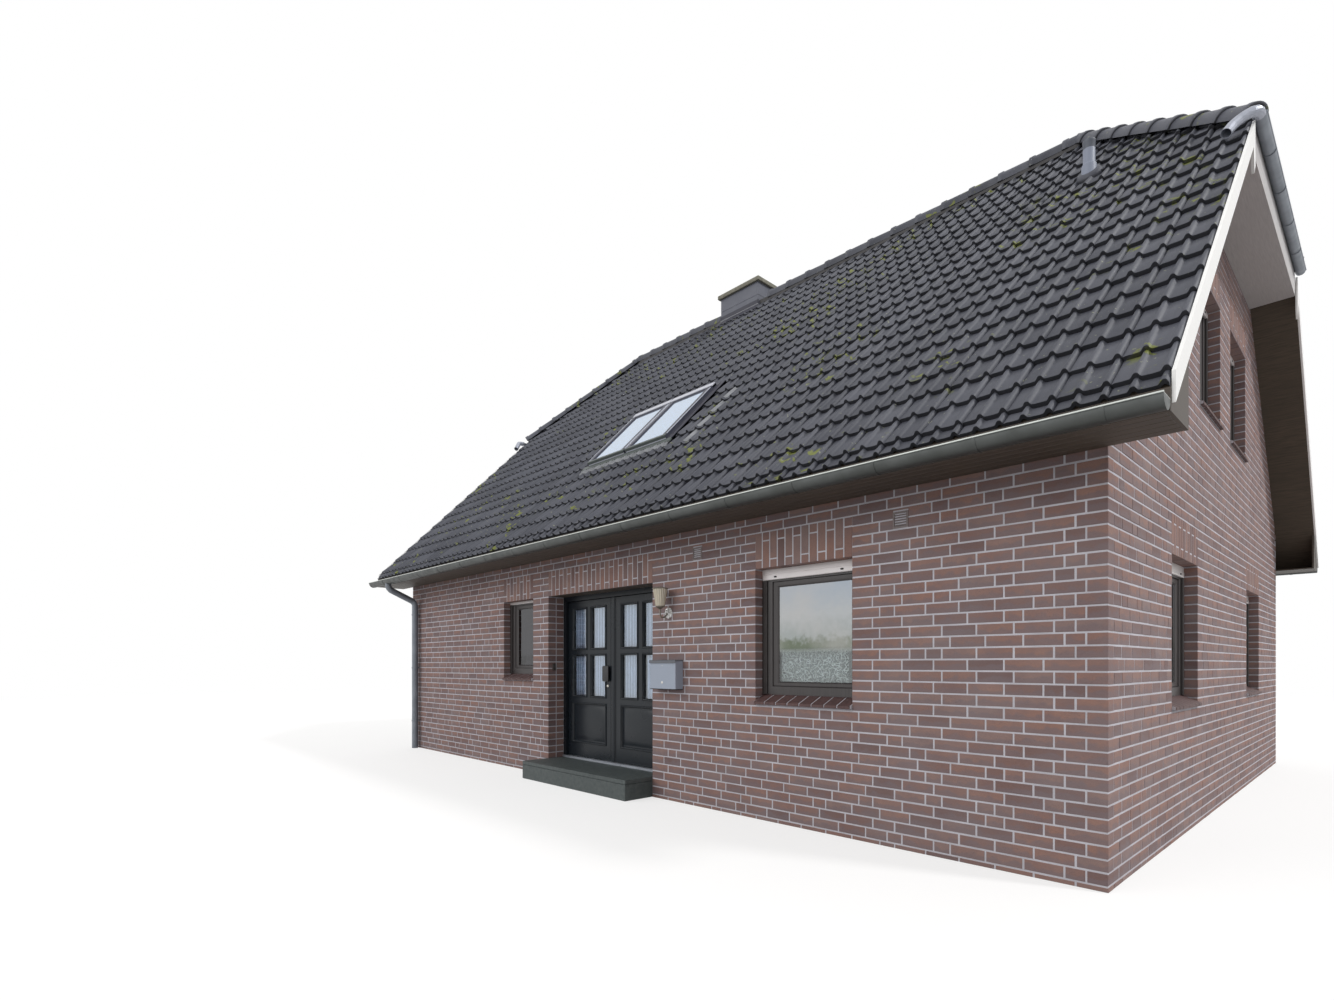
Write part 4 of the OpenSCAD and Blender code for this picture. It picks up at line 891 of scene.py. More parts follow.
SLOPE_FRONT = Matrix.Translation((0, -EAVE_Y, EAVE_Z)) @ Matrix.Rotation(PITCH, 4, "X")
SLOPE_REAR = turn_z(180) @ SLOPE_FRONT
ROOF_WINDOW = (-1.020, 1.640, 0.530, 2.875)
ROOF_SIDE = 0.09
CHIMNEY_LOW, CHIMNEY_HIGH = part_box("chimney_stack")


def hip_edge_x(y):
    """Half the width of a main slope at a distance up it, cut along the hips."""
    plan = y * math.cos(PITCH)
    from_ridge = EAVE_Y - plan
    if from_ridge > HIP_Y:
        return VERGE_X
    return RIDGE_X + (VERGE_X - RIDGE_X) * from_ridge / HIP_Y


def plane(x, y, nx, ny):
    """A cut square to a slope: a point of it and its normal."""
    return Vector((x, y, 0)), Vector((nx, ny, 0))


def rect_cuts(rect):
    """The four sets of planes that keep what lies round a rectangle on a slope."""
    x0, y0, x1, y1 = rect
    between = [plane(x0, 0, -1, 0), plane(x1, 0, 1, 0)]
    return [[plane(x0, 0, 1, 0)], [plane(x1, 0, -1, 0)], between + [plane(0, y0, 0, 1)],
            between + [plane(0, y1, 0, -1)]]


def tile_kind(x, y, holes):
    """Whether a tile stays whole, is left out (None), or is cut, and then at what."""
    x1, y1 = x + TILE_W, y + TILE_L
    if x1 < -VERGE_X + 0.002 or x > VERGE_X - 0.002:
        return None
    for k, (hx0, hy0, hx1, hy1) in enumerate(holes):
        if x >= hx0 and x1 <= hx1 and y >= hy0 and y1 <= hy1:
            return None
        if x < hx1 and x1 > hx0 and y < hy1 and y1 > hy0:
            return k
    edge = hip_edge_x(y1)
    if x > hip_edge_x(y) or x1 < -hip_edge_x(y):
        return None
    if x1 > edge + 1e-6:
        return "right"
    if x < -edge - 1e-6:
        return "left"
    return "whole" if y1 < SLOPE_L else "top"


def main_slope(name, place, holes, node):
    starts = course_starts(SLOPE_ROWS, FIRST)
    whole, to_cut = lay_tiles(SLOPE_COLUMNS, -VERGE_X, starts, lambda x, y: tile_kind(x, y, holes))
    hip_dir = Vector((RIDGE_X - VERGE_X, HIP_Y / math.cos(PITCH), 0)).normalized()
    top_cut = plane(0, SLOPE_L - 0.02, 0, 1)
    cuts = {
        "right": [[plane(RIDGE_X, SLOPE_L, hip_dir.y, -hip_dir.x)]],
        "left": [[plane(-RIDGE_X, SLOPE_L, -hip_dir.y, -hip_dir.x)]],
        "top": [[]],
    }
    cuts.update((k, rect_cuts(hole)) for k, hole in enumerate(holes))
    for key, shape in to_cut.items():
        for planes in cuts[key]:
            part = clipped(shape, planes + [top_cut])
            if part.count:
                whole.add_shape(part)
    piece(name, Shape().add_shape(whole, place), TILE, replaces=[node], angle=50)


def build_barge_boards():
    """White boards outside the ends of the tiles, each with a hanging point at its upper end."""
    boards = Shape()
    top_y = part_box("hip_soffits")[1].y + 0.04
    foot_y = 4.55
    nose_w, nose_h, tip_h = 0.095, 0.15, 0.09
    edge = 0.012 / math.cos(PITCH)
    lower = RIDGE_Z - top_y - nose_w - VERGE_DROP
    outline = [(foot_y, RIDGE_Z - foot_y - edge), (top_y, RIDGE_Z - top_y - edge),
               (top_y, lower - nose_h + tip_h / 2), (top_y + nose_w * 0.6, lower - nose_h - tip_h / 2),
               (top_y + nose_w, lower), (foot_y, RIDGE_Z - foot_y - VERGE_DROP)]
    middle = np.mean(outline, axis=0)
    for sx in (-1, 1):
        for sy in (-1, 1):
            rings = []
            for x, inset in ((0.001, 0.0), (0.018, 0.0), (0.020, 0.002)):
                ring = []
                for y, z in outline:
                    away = np.array([y, z]) - middle
                    y, z = middle + away * (1 - inset / np.linalg.norm(away))
                    ring.append((sx * (VERGE_X + x), sy * y, z))
                rings.append(ring)
            boards.add(*loft(rings))
    piece("verge_boards", boards, WHITE_BOARDS, replaces=["barge_boards"])


def hip_slope(name, node):
    """The tiles of both half hips."""
    out_x = VERGE_X + HIP_LIP
    run = out_x - RIDGE_X
    length = math.hypot(run, run * math.tan(HIP_PITCH))
    edge_z = RIDGE_Z - run * math.tan(HIP_PITCH)
    basis = Matrix(((0, -math.cos(HIP_PITCH), math.sin(HIP_PITCH), out_x), (1, 0, 0, 0),
                    (0, math.sin(HIP_PITCH), math.cos(HIP_PITCH), edge_z), (0, 0, 0, 1)))
    first_x = -HIP_COLUMNS / 2 * TILE_W
    to_cut = lay_tiles(HIP_COLUMNS, first_x, course_starts(HIP_ROWS, GAUGE), lambda x, y: "cut")[1]
    hip_dir = Vector((-HIP_Y, length - HIP_LIP / math.cos(HIP_PITCH), 0)).normalized()
    planes = [plane(0, length, hip_dir.y, -hip_dir.x), plane(0, length, -hip_dir.y, -hip_dir.x),
              plane(HIP_Y, 0, 1, 0), plane(-HIP_Y, 0, -1, 0)]
    cut = clipped(to_cut["cut"], planes)
    both = Shape().add_shape(cut, basis).add_shape(cut, turn_z(180) @ basis)
    piece(name, both, TILE, replaces=[node], angle=50)


# Ridge and hip cappings
CAP_SECTIONS = [(0.0, 0.109), (0.003, 0.112), (0.058, 0.112), (0.066, 0.1025), (0.430, 0.0925)]
CAP_T = 0.018
CAP_SIDES = 14
CAP_DROP = 0.035
RIDGE_GAUGE, HIP_GAUGE = 0.366, 0.33


def cap_shape(gauge, skirt):
    """One capping along X with its wide end at the start."""
    rings = []
    for x, r in CAP_SECTIONS:
        x = min(x, gauge + 0.05)
        ring = []
        for radius, order in ((r, 1), (r - CAP_T, -1)):
            arc = [(x, radius * math.cos(a), radius * math.sin(a))
                   for a in (math.pi * k / CAP_SIDES for k in range(CAP_SIDES + 1))]
            arc = [(x, radius, -skirt)] + arc + [(x, -radius, -skirt)]
            ring += arc[::order]
        rings.append(ring)
    n = len(rings[0])
    points, faces = loft(rings, close_ends=False)
    for base, flip in ((0, False), ((len(rings) - 1) * n, True)):
        for k in range(n // 2 - 1):
            face = [base + k, base + k + 1, base + n - 2 - k, base + n - 1 - k]
            faces.append(face[::-1] if flip else face)
    return points, faces


def cap_row(shape, a, b, gauge, skirt, gaps=()):
    a, b = Vector(a), Vector(b)
    along = (b - a).normalized()
    side = Vector((0, 0, 1)).cross(along).normalized()
    up = along.cross(side)
    basis = Matrix((along, side, up)).transposed().to_4x4()
    points, faces = cap_shape(gauge, skirt)
    length = (b - a).length
    count = math.ceil((length - 0.05) / gauge)
    for i in range(count):
        start = a + along * (i * gauge)
        if any(lo < start.x + gauge * 0.5 < hi for lo, hi in gaps):
            continue
        wobble = Matrix.Rotation(rng.uniform(-0.012, 0.012), 4, "Z") @ Matrix.Rotation(
            rng.uniform(-0.008, 0.008), 4, "Y")
        shape.add(points, faces, rng.random(), Matrix.Translation(start) @ basis @ wobble)


def build_caps():
    """Cappings along the ridge and the four hips, and the mortar under those of the ridge."""
    caps, bed, ridge = Shape(), Shape(), Shape()
    top = RIDGE_Z - CAP_DROP
    gaps = [(CHIMNEY_LOW.x, CHIMNEY_HIGH.x)]
    cap_row(ridge, (-RIDGE_X, 0, top), (RIDGE_X, 0, top), RIDGE_GAUGE, 0.040, gaps)
    caps.add_shape(clipped(ridge, [plane(sx * (RIDGE_X + 0.03), 0, sx, 0) for sx in (-1, 1)]))
    for sx in (-1, 1):
        for sy in (-1, 1):
            row = Shape()
            foot = (sx * VERGE_X, sy * HIP_Y, RIDGE_Z - HIP_DROP - CAP_DROP)
            cap_row(row, foot, (sx * RIDGE_X, 0, top), HIP_GAUGE, 0.006)
            own = [plane(sx * (RIDGE_X - 0.04), 0, -sx, 0), plane(0, -sy * 0.001, 0, -sy)]
            caps.add_shape(clipped(row, own))
    piece("ridge_and_hip_caps", caps, TILE, replaces=["ridge_tiles"], angle=50)
    for side in (-1, 1):
        outline = [(0.02 * side, top), (0.085 * side, top - 0.010), (0.105 * side, top - 0.09),
                   (0.02 * side, top - 0.09)]
        bed.prism(outline, -RIDGE_X, RIDGE_X)
    piece("ridge_bedding", bed, CAP_MORTAR)


# Windows
FRAME_D = 0.07
FRAME_SIDE, FRAME_FOOT, FRAME_HEAD = 0.106, 0.078, 0.018
SASH_SIDE, SASH_FOOT, SASH_HEAD = 0.065, 0.042, 0.052
RAIL_W, RAIL_D = 0.062, 0.018


def frame_rects(w):
    """Outer rectangle of the frame, the sash opening and the pane."""
    outer = (w["x0"], w["z0"], w["x1"], w["z1"] - w["box_h"])
    right = outer[2] - FRAME_SIDE + w["more"]
    sash = (outer[0] + FRAME_SIDE, outer[1] + FRAME_FOOT, right, outer[3] - FRAME_HEAD)
    pane = (sash[0] + SASH_SIDE, sash[1] + SASH_FOOT, sash[2] - SASH_SIDE, sash[3] - SASH_HEAD)
    return outer, sash, pane


def window_frame(frames, rails, w, place):
    outer, sash, pane = frame_rects(w)
    y, back = LEAF_T, LEAF_T + FRAME_D
    profile = [(0, y), (0.93, y), (1, y + 0.005), (1, back), (0, back)]
    frames.add(*ring_frame(outer, sash, profile), 0.5, place)
    s = y + 0.012
    profile = [(0, s + 0.003), (0.05, s), (0.70, s), (0.80, s + 0.003), (0.97, s + 0.010), (1, s + 0.012),
               (1, back - 0.002), (0, back - 0.002)]
    frames.add(*ring_frame(grown(sash, -0.0015), pane, profile), 0.5, place)
    y -= RAIL_D
    z0, z1 = outer[1], outer[3]
    for x in (outer[0], outer[2] - RAIL_W):
        add_box(rails, (x + 0.002, y, z0 + 0.001), (x + RAIL_W - 0.008, LEAF_T + 0.001, z1), 0.002, 0.5,
                place)
        add_box(rails, (x + 0.016, y - 0.002, z0 + 0.002), (x + 0.030, y + 0.004, z1 - 0.002), 0.0015, 0.4,
                place)


def shutter_box(boxes, slots, w, place):
    outer, _, _ = frame_rects(w)
    y = LEAF_T - RAIL_D
    z = outer[3]
    add_box(boxes, (w["x0"], y + 0.004, z + 0.012), (w["x1"], WALL_T, w["z1"] - 0.001), 0.003, 0.5, place)
    add_box(boxes, (w["x0"] + 0.004, y, z), (w["x1"] - 0.004, y + 0.02, z + min(0.05, w["box_h"] * 0.6)),
            0.004, 0.5, place)
    if w["box_h"] > 0.05:
        for x in (w["x0"] + 0.14, w["x1"] - 0.17):
            ends = (y - 0.004, y + 0.004)
            rings = [rounded_rect(x, z + 0.018, x + 0.030, z + 0.032, 0.0065, end) for end in ends]
            slots.add(*loft(rings), 0.5, place)


def brick_sill(bricks, joints, w, place):
    """A sill of flat bricks that fall steeply to the outside, on a mortar bed."""
    out, fall, thick, top = 0.03, 0.061, 0.028, w["z0"]
    brick_w, joint, ease, chip = 0.1262, 0.010, 0.004, 0.002
    count = round((w["x1"] - w["x0"]) / brick_w)
    pitch = (w["x1"] - w["x0"]) / count
    low = top - fall - thick
    for k in range(count):
        x0 = w["x0"] + k * pitch + 0.004
        x1 = x0 + pitch - joint
        jut = rng.uniform(-0.002, 0.0)
        side = [(-out - jut, low + 0.001), (-out - jut, top - fall - ease), (-out - jut + ease, top - fall),
                (LEAF_T, top - 0.001), (LEAF_T, low + 0.001)]
        rings = []
        for x, eased in ((x0, chip), (x0 + chip, 0.0), (x1 - chip, 0.0), (x1, chip)):
            rings.append([(x, y, z - (eased if z > low + 0.01 else 0.0)) for y, z in side])
        bricks.add(*loft(rings), rng.random(), place)
    bed = [(-out + 0.006, low + 0.004), (-out + 0.006, top - fall - 0.002), (LEAF_T, top - 0.0035),
           (WALL_T, top - 0.0035), (WALL_T, top - SILL_H), (0.006, top - SILL_H), (0.006, low)]
    joints.prism(bed, w["x0"], w["x1"], 0.5, place)


def build_windows():
    rails, boxes, slots, bricks, joints, panes = [Shape() for _ in range(6)]
    groups = [("front", [(ON_FRONT, FRONT_WINDOWS)]), ("rear", [(ON_REAR, REAR_WINDOWS)]),
              ("gable", [(ON_LEFT, GABLE_WINDOWS), (ON_RIGHT, GABLE_WINDOWS)])]
    for side, walls in groups:
        frames = Shape()
        for place, windows in walls:
            for w in windows:
                window_frame(frames, rails, w, place)
                shutter_box(boxes, slots, w, place)
                brick_sill(bricks, joints, w, place)
                x0, z0, x1, z1 = frame_rects(w)[2]
                add_box(panes, (x0, LEAF_T + 0.0245, z0), (x1, LEAF_T + 0.0475, z1), 0.001, 0.5, place)
        piece(side + "_windows", frames, WINDOW_FRAME, replaces=[side + "_window_frames"])
    piece("window_panes", panes, PANE, replaces=["window_glass"])
    piece("shutter_guides", rails, GUIDE_RAIL)
    piece("shutter_covers", boxes, SHUTTER_BOX, replaces=["shutter_boxes"])
    piece("shutter_stops", slots, BLACK_AND_SHADE)
    piece("sill_bricks", bricks, SILL_BRICK, replaces=["window_sills"])
    piece("sill_mortar", joints, MORTAR)


# Front door
DOOR_Y = -HALF_D + DOOR_REVEAL
JAMB_L, JAMB_R = -0.935, 0.955
LEAF_Y = DOOR_Y + 0.035
LEAF_BACK_Y = LEAF_Y + 0.06
LEAF_Z = (0.248, 2.224)
PANE_ROWS = [(1.02, 1.53), (1.62, 2.125)]
PANEL_Z = (0.44, 0.915)
PANE_W, PANE_GAP = 0.275, 0.115
HINGE_R, HINGE_H = 0.008, 0.055
HINGE_Y = LEAF_BACK_Y + 0.013
HINGE_ZS = (0.481, 1.301, 2.121)
NET_T = 0.0006


def pane_rects(c0, c1):
    left = (c0 + c1) / 2 - PANE_GAP / 2 - PANE_W
    return [(x, z0, x + PANE_W, z1) for z0, z1 in PANE_ROWS for x in (left, left + PANE_W + PANE_GAP)]


def panel_rect(c0, c1):
    left = (c0 + c1) / 2 - PANE_GAP / 2 - PANE_W
    return (left, PANEL_Z[0], left + 2 * PANE_W + PANE_GAP, PANEL_Z[1])


def leaf_shape(x0, x1, c0, hinge_x, side):
    """A door leaf from x0 to x1. Its panes and its panel are centred between c0 and its far edge."""
    shape = Shape()
    y = LEAF_Y
    panes, panel = pane_rects(c0, x1), panel_rect(c0, x1)
    outline = rect_loop(x0, LEAF_Z[0], x1, LEAF_Z[1])
    holes = [rect_loop(*r) for r in panes]
    shape.add(*plate(outline, holes + [rect_loop(*panel)], y, y + 0.014))
    shape.add(*plate(outline, holes, y + 0.014, LEAF_BACK_Y))
    mould = [(0, y + 0.001), (0.04, y - 0.008), (0.28, y - 0.0125), (0.50, y - 0.0125), (0.62, y - 0.006),
             (0.85, y - 0.004), (1.0, y + 0.002), (1.25, y + 0.008), (1.25, y + 0.02), (0, y + 0.02)]
    for rect in panes:
        shape.add(*ring_frame(grown(rect, 0.020), rect, mould))
    shape.add(*ring_frame(grown(panel, 0.022), panel, mould))
    shape.add(*raised_field(panel))
    for z in HINGE_ZS:
        shape.add(*tube([(hinge_x, HINGE_Y, z), (hinge_x, HINGE_Y, z + HINGE_H)], HINGE_R, 16))
        a, b = sorted((hinge_x, hinge_x + side * 0.034))
        add_box(shape, (a, LEAF_BACK_Y - 0.001, z), (b, HINGE_Y - HINGE_R + 0.003, z + HINGE_H), 0.001)
    return shape


def raised_field(rect):
    """A fielded panel: a flat middle with sloping borders."""
    base = LEAF_Y + 0.014
    rings = []
    for by, y in ((0.0, base + 0.002), (-0.020, base), (-0.028, LEAF_Y + 0.0105), (-0.075, LEAF_Y + 0.001),
                  (-0.080, LEAF_Y + 0.0)):
        x0, z0, x1, z1 = grown(rect, by)
        rings.append([(x0, y, z0), (x1, y, z0), (x1, y, z1), (x0, y, z1)])
    return loft(rings)


def flat_width(rows):
    """Width of a curtain when its folds are drawn flat."""
    line = [Vector((row[0][0], row[0][1], 0)) for row in rows]
    return sum((b - a).length for a, b in zip(line[:-1], line[1:]))


def gathered(rects, y, waves, depth, clear):
    """Curtains gathered behind panes, as folded sheets. Returns the shape and the flat size."""
    shape = Shape()
    steps = waves * 8
    width = length = 0.0
    for (x0, z0, x1, z1), (left, right) in zip(rects, clear):
        phase = rng.random() * 6.28
        bottom = z0 + 0.004
        top = z1 - 0.004
        length = top - bottom
        levels = ((bottom, 1.0), (bottom + length * 0.33, 0.95), (bottom + length * 0.66, 0.9), (top, 0.8))
        rows, fold_shade = [], []
        for k in range(steps + 1):
            t = k / steps
            x = x0 + left + t * (x1 - x0 - left - right)
            wave = 0.74 * math.sin(2 * math.pi * waves * t + phase)
            wave += 0.26 * math.sin(4.7 * math.pi * waves * t)
            rows.append([(x, y + depth * wave * s, z) for z, s in levels])
            # Painted shade: the tint is lower where the fold lies deeper, and darkens the cloth there.
            fold_shade += [0.5 - 0.5 * wave] * 4
        shape.add(*loft(rows, close_ends=False, closed_ring=False), fold_shade)
        width += flat_width(rows)
    return shape, (width, length)


def thin_sheet(obj):
    """Gives a curtain its thickness."""
    solid = obj.modifiers.new("thickness", "SOLIDIFY")
    solid.thickness = NET_T
    solid.offset = 0
    bpy.context.view_layer.objects.active = obj
    bpy.context.view_layer.update()
    evaluated = obj.evaluated_get(bpy.context.evaluated_depsgraph_get())
    mesh = bpy.data.meshes.new_from_object(evaluated)
    obj.modifiers.clear()
    obj.data = mesh


def build_door():
    y, (z0, z1) = LEAF_Y, LEAF_Z
    meet_l, meet_r, meet_w = -0.0445, -0.0325, 0.085
    left_x, right_x = JAMB_L + 0.005, JAMB_R - 0.005
    left = leaf_shape(left_x, meet_l, left_x, JAMB_L, 1)
    right = leaf_shape(meet_r, right_x, meet_r + meet_w, JAMB_R, -1)
    strip = [(meet_r, y + 0.001)]
    for k in range(9):
        a = math.pi * k / 8
        x = meet_r + 0.004 + (meet_w - 0.012) / 2 * (1 - math.cos(a))
        strip.append((x, y - 0.007 - 0.014 * math.sin(a)))
    strip.append((meet_r + meet_w, y + 0.001))
    right.add(*loft([[(x, d, z) for x, d in strip] for z in (z0, z1 - 0.001)]))
    # Painted shade: near-black strips on both sides of the meeting bar stand for the shadow gaps there.
    shadow_strips = Shape()
    for a, b in ((meet_r - 0.001, meet_r + 0.006), (meet_r + meet_w - 0.009, meet_r + meet_w + 0.002)):
        add_box(shadow_strips, (a, y - 0.0008, z0), (b, y + 0.004, z1 - 0.001))
    piece("meeting_bar_shadows", shadow_strips, BLACK_AND_SHADE, "door_right")
    piece("left_leaf", left, DOOR_PAINT, "door_left", ["door_leaf_left"])
    piece("right_leaf", right, DOOR_PAINT, "door_right", ["door_leaf_right"])
    build_handle()
    build_net("left", left_x, meet_l)
    build_net("right", meet_r + meet_w, right_x)


def build_net(side, c0, c1):
    """The curtains of one leaf, one behind each of its panes."""
    drawn = [(0.004, 0.030), (0.020, 0.004), (0.003, 0.003), (0.003, 0.003)]
    cloth, flat = gathered(pane_rects(c0, c1), LEAF_Y + 0.049, 5, 0.0046, drawn)
    nodes = ["door_curtain_" + side]
    net = piece("net_" + side, cloth, NET, "door_" + side, nodes, tidy=False)
    thin_sheet(net)


def build_handle():
    """The broad pull of the left leaf, on its neck, and the lock under it."""
    low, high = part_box("door_handle")
    x = (low.x + high.x) / 2
    foot, neck, head, lock_z = 1.21, 1.30, 1.40, 1.155
    rings = []
    for inset, depth in ((0.010, 0.0), (0.003, 0.003), (0.0, 0.010), (0.0, 0.018), (0.006, 0.026)):
        x0, x1 = low.x + inset, high.x - inset
        rings.append(rounded_rect(x0, foot + inset, x1, head - inset, 0.016, low.y + depth))
    pull = Shape().add(*loft(rings))
    pull.add(*tube([(x, low.y + 0.02, neck), (x, LEAF_Y + 0.002, neck)], 0.018, 24))
    piece("door_pull", pull, HANDLE_METAL, "door_left", ["door_handle"])
    knob = [(0.002, 0.0), (0.017, 0.0), (0.017, 0.007), (0.014, 0.011), (0.008, 0.012), (0.002, 0.012)]
    lock = Shape().add(*revolved(knob, 28), 0.5, out_of_wall(x, LEAF_Y + 0.001, lock_z))
    piece("door_lock", lock, LOCK_METAL, "door_left")


def rounded_rect(x0, z0, x1, z1, r, y, steps=4):
    points = []
    for cx, cz, start in ((x1 - r, z1 - r, 0), (x0 + r, z1 - r, 1), (x0 + r, z0 + r, 2), (x1 - r, z0 + r, 3)):
        for k in range(steps + 1):
            a = (start + k / steps) * math.pi / 2
            points.append((cx + r * math.cos(a), y, cz + r * math.sin(a)))
    return points


# Rainwater
def build_rainwater():
    """Straps that hold the short gutters of the half hips."""
    straps = Shape()
    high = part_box("hip_gutters")[1]
    r = (high.x - VERGE_X) / 2
    rim = high.z - 0.006
    for sx in (-1, 1):
        for y in (-1.05, -0.35, 0.35, 1.05):
            rings = []
            for at in (y - 0.010, y + 0.010):
                ring = []
                for radius, order in ((r + 0.0004, 1), (r - 0.003, -1)):
                    for a in [math.pi * k / 14 for k in range(15)][::order]:
                        x = VERGE_X + r + radius * math.cos(a)
                        ring.append((sx * x, at, rim - 0.004 - radius * math.sin(a)))
                rings.append(ring)
            straps.add(*loft(rings))
    piece("hip_gutter_straps", straps, PIPE_ZINC)


# Eaves
def build_eaves():
    boards = Shape()
    end_y = 4.57
    back_y = end_y - 0.021
    width = 0.09
    fascia_top = RIDGE_Z - end_y - 0.0862
    z1 = RIDGE_Z - HALF_D * math.tan(PITCH) - VERGE_DROP - 0.001
    z0 = z1 - (back_y - HALF_D) * math.tan(PITCH)
    for side in (-1, 1):
        y = HALF_D
        while y < end_y - 0.03:
            a, b = sorted((side * (y + 0.001), side * (min(y + width, back_y) - 0.001)))
            add_box(boards, (-VERGE_X + 0.021, a, SOFFIT_Z), (VERGE_X - 0.021, b, SOFFIT_Z + 0.018), 0.003,
                    rng.random())
            y += width
        a, b = sorted((side * (end_y - 0.02), side * end_y))
        add_box(boards, (-VERGE_X, a, SOFFIT_Z), (VERGE_X, b, fascia_top), 0.002, 0.6)
        ends = [(side * HALF_D, SOFFIT_Z), (side * back_y, SOFFIT_Z), (side * back_y, z0),
                (side * HALF_D, z1)]
        for x in (-VERGE_X, VERGE_X - 0.02):
            boards.prism(ends, x, x + 0.02)
    piece("eave_boards", boards, DARK_BOARDS, replaces=["eave_soffits"])


# Roof fittings
def on_slope(low, high, shape, chamfer, tint=0.5):
    add_box(shape, low, high, chamfer, tint, SLOPE_FRONT)


def build_roof_window():
    """Two sashes side by side, each with a bright cover over its head, in a surround."""
    x0, s0, x1, s1 = ROOF_WINDOW
    sash_w, rail, foot, head = 0.765, 0.085, 0.050, 0.120
    frames, covers, feet, trims = Shape(), Shape(), Shape(), Shape()
    tilt = Matrix(SLOPE_FRONT) @ Matrix(((1, 0, 0, 0), (0, 0, 1, 0), (0, -1, 0, 0), (0, 0, 0, 1)))
    profile = [(0, 0.11), (0, -0.050), (0.09, -0.056), (0.38, -0.057), (0.40, -0.050), (0.45, -0.050),
               (0.47, -0.058), (0.84, -0.058), (1, -0.044), (1, 0.11)]
    for left in (x0, x1 - sash_w):
        right = left + sash_w
        outer = (left, s0 + 0.001, right, s1 - 0.001)
        inner = (left + rail, s0 + foot, right - rail, s1 - head)
        frames.add(*ring_frame(outer, inner, profile), 0.5, tilt)
        on_slope((left, s1 - 0.092, 0.020), (right, s1, 0.066), covers, 0.006)
        on_slope((left + 0.002, s0 - 0.001, 0.020), (right - 0.002, s0 + foot - 0.012, 0.060), feet, 0.005)
        for a in (left + 0.002, right - 0.010):
            on_slope((a, s0 + foot, 0.040), (a + 0.008, s1 - head, 0.0595), trims, 0.002)
        on_slope((left + 0.01, s0 - 0.003, 0.010), (right - 0.01, s0 + 0.004, 0.022), trims, 0.002)
    on_slope((x0 + sash_w - 0.01, s0 + 0.01, -0.02), (x1 - sash_w + 0.01, s1 - 0.01, 0.022), frames, 0.003)
    piece("roof_window_sashes", frames, SASH_METAL, replaces=["roof_window_frame"])
    piece("roof_window_covers", covers, COVER_METAL)
    piece("roof_window_trims", trims, TRIM_METAL)
    build_roof_window_apron()
    on_slope((x0 - ROOF_SIDE, s0 - 0.088, -0.01), (x1 + ROOF_SIDE, s0 + 0.001, 0.013), feet, 0.004)
    piece("roof_window_feet", feet, FOOT_METAL)


def build_roof_window_apron():
    """Pleated lead, dressed over the tiles under the roof window."""
    x0, s0, x1, _ = ROOF_WINDOW
    left, right, steps = x0 - ROOF_SIDE, x1 + ROOF_SIDE, 160
    rings = []
    for k in range(steps + 1):
        x = left + (right - left) * k / steps
        h = 0.005 * math.sin(math.pi * k / 2)
        wave = 0.6 * wave_height(x) + 0.004
        rings.append([(x, s0 - 0.165, -0.002 + wave + h), (x, s0 - 0.12, 0.003 + wave + h),
                      (x, s0 - 0.08, 0.008 + h), (x, s0 - 0.08, 0.001), (x, s0 - 0.165, -0.012 + wave)])
    piece("roof_window_apron", Shape().add(*loft(rings), 0.5, SLOPE_FRONT), LEAD)


def build_flashings():
    """Dark flashings round the roof window and the chimney."""
    x0, s0, x1, s1 = ROOF_WINDOW
    flashing = Shape()
    for a, b in ((x0 - ROOF_SIDE, x0 - 0.001), (x1 + 0.001, x1 + ROOF_SIDE)):
        for c, d, top in ((a, b, 0.006), (a, a + 0.012, 0.014), (b - 0.012, b, 0.014)):
            on_slope((c, s0 - 0.02, -0.02), (d, s1 + ROOF_SIDE, top), flashing, 0.003)
    on_slope((x0 - 0.02, s1 + 0.001, -0.02), (x1 + 0.02, s1 + ROOF_SIDE, 0.012), flashing, 0.003)
    chimney_apron(flashing)
    piece("dark_flashings", flashing, SIDE_METAL, replaces=["roof_flashings"])


def build_bright_strips():
    """Short strips on four courses right of the roof window, and the bright foot of the chimney."""
    strips = Shape()
    for start, _ in course_starts(SLOPE_ROWS, FIRST)[5:9]:
        rings = []
        for x in (0.975, 0.990, 1.005, 1.020):
            h = wave_height(x)
            rings.append([(x, start + 0.03, h + 0.002), (x, start + 0.30, h - 0.022),
                          (x, start + 0.30, h - 0.030), (x, start + 0.03, h - 0.006)])
        strips.add(*loft(rings), 0.5, SLOPE_FRONT)
    low, high = CHIMNEY_LOW, CHIMNEY_HIGH
    z = RIDGE_Z - abs(low.y)
    add_box(strips, (low.x - 0.008, low.y - 0.011, z - 0.008), (high.x + 0.008, low.y - 0.002, z + 0.016),
            0.002)
    piece("bright_strips", strips, LEAD)


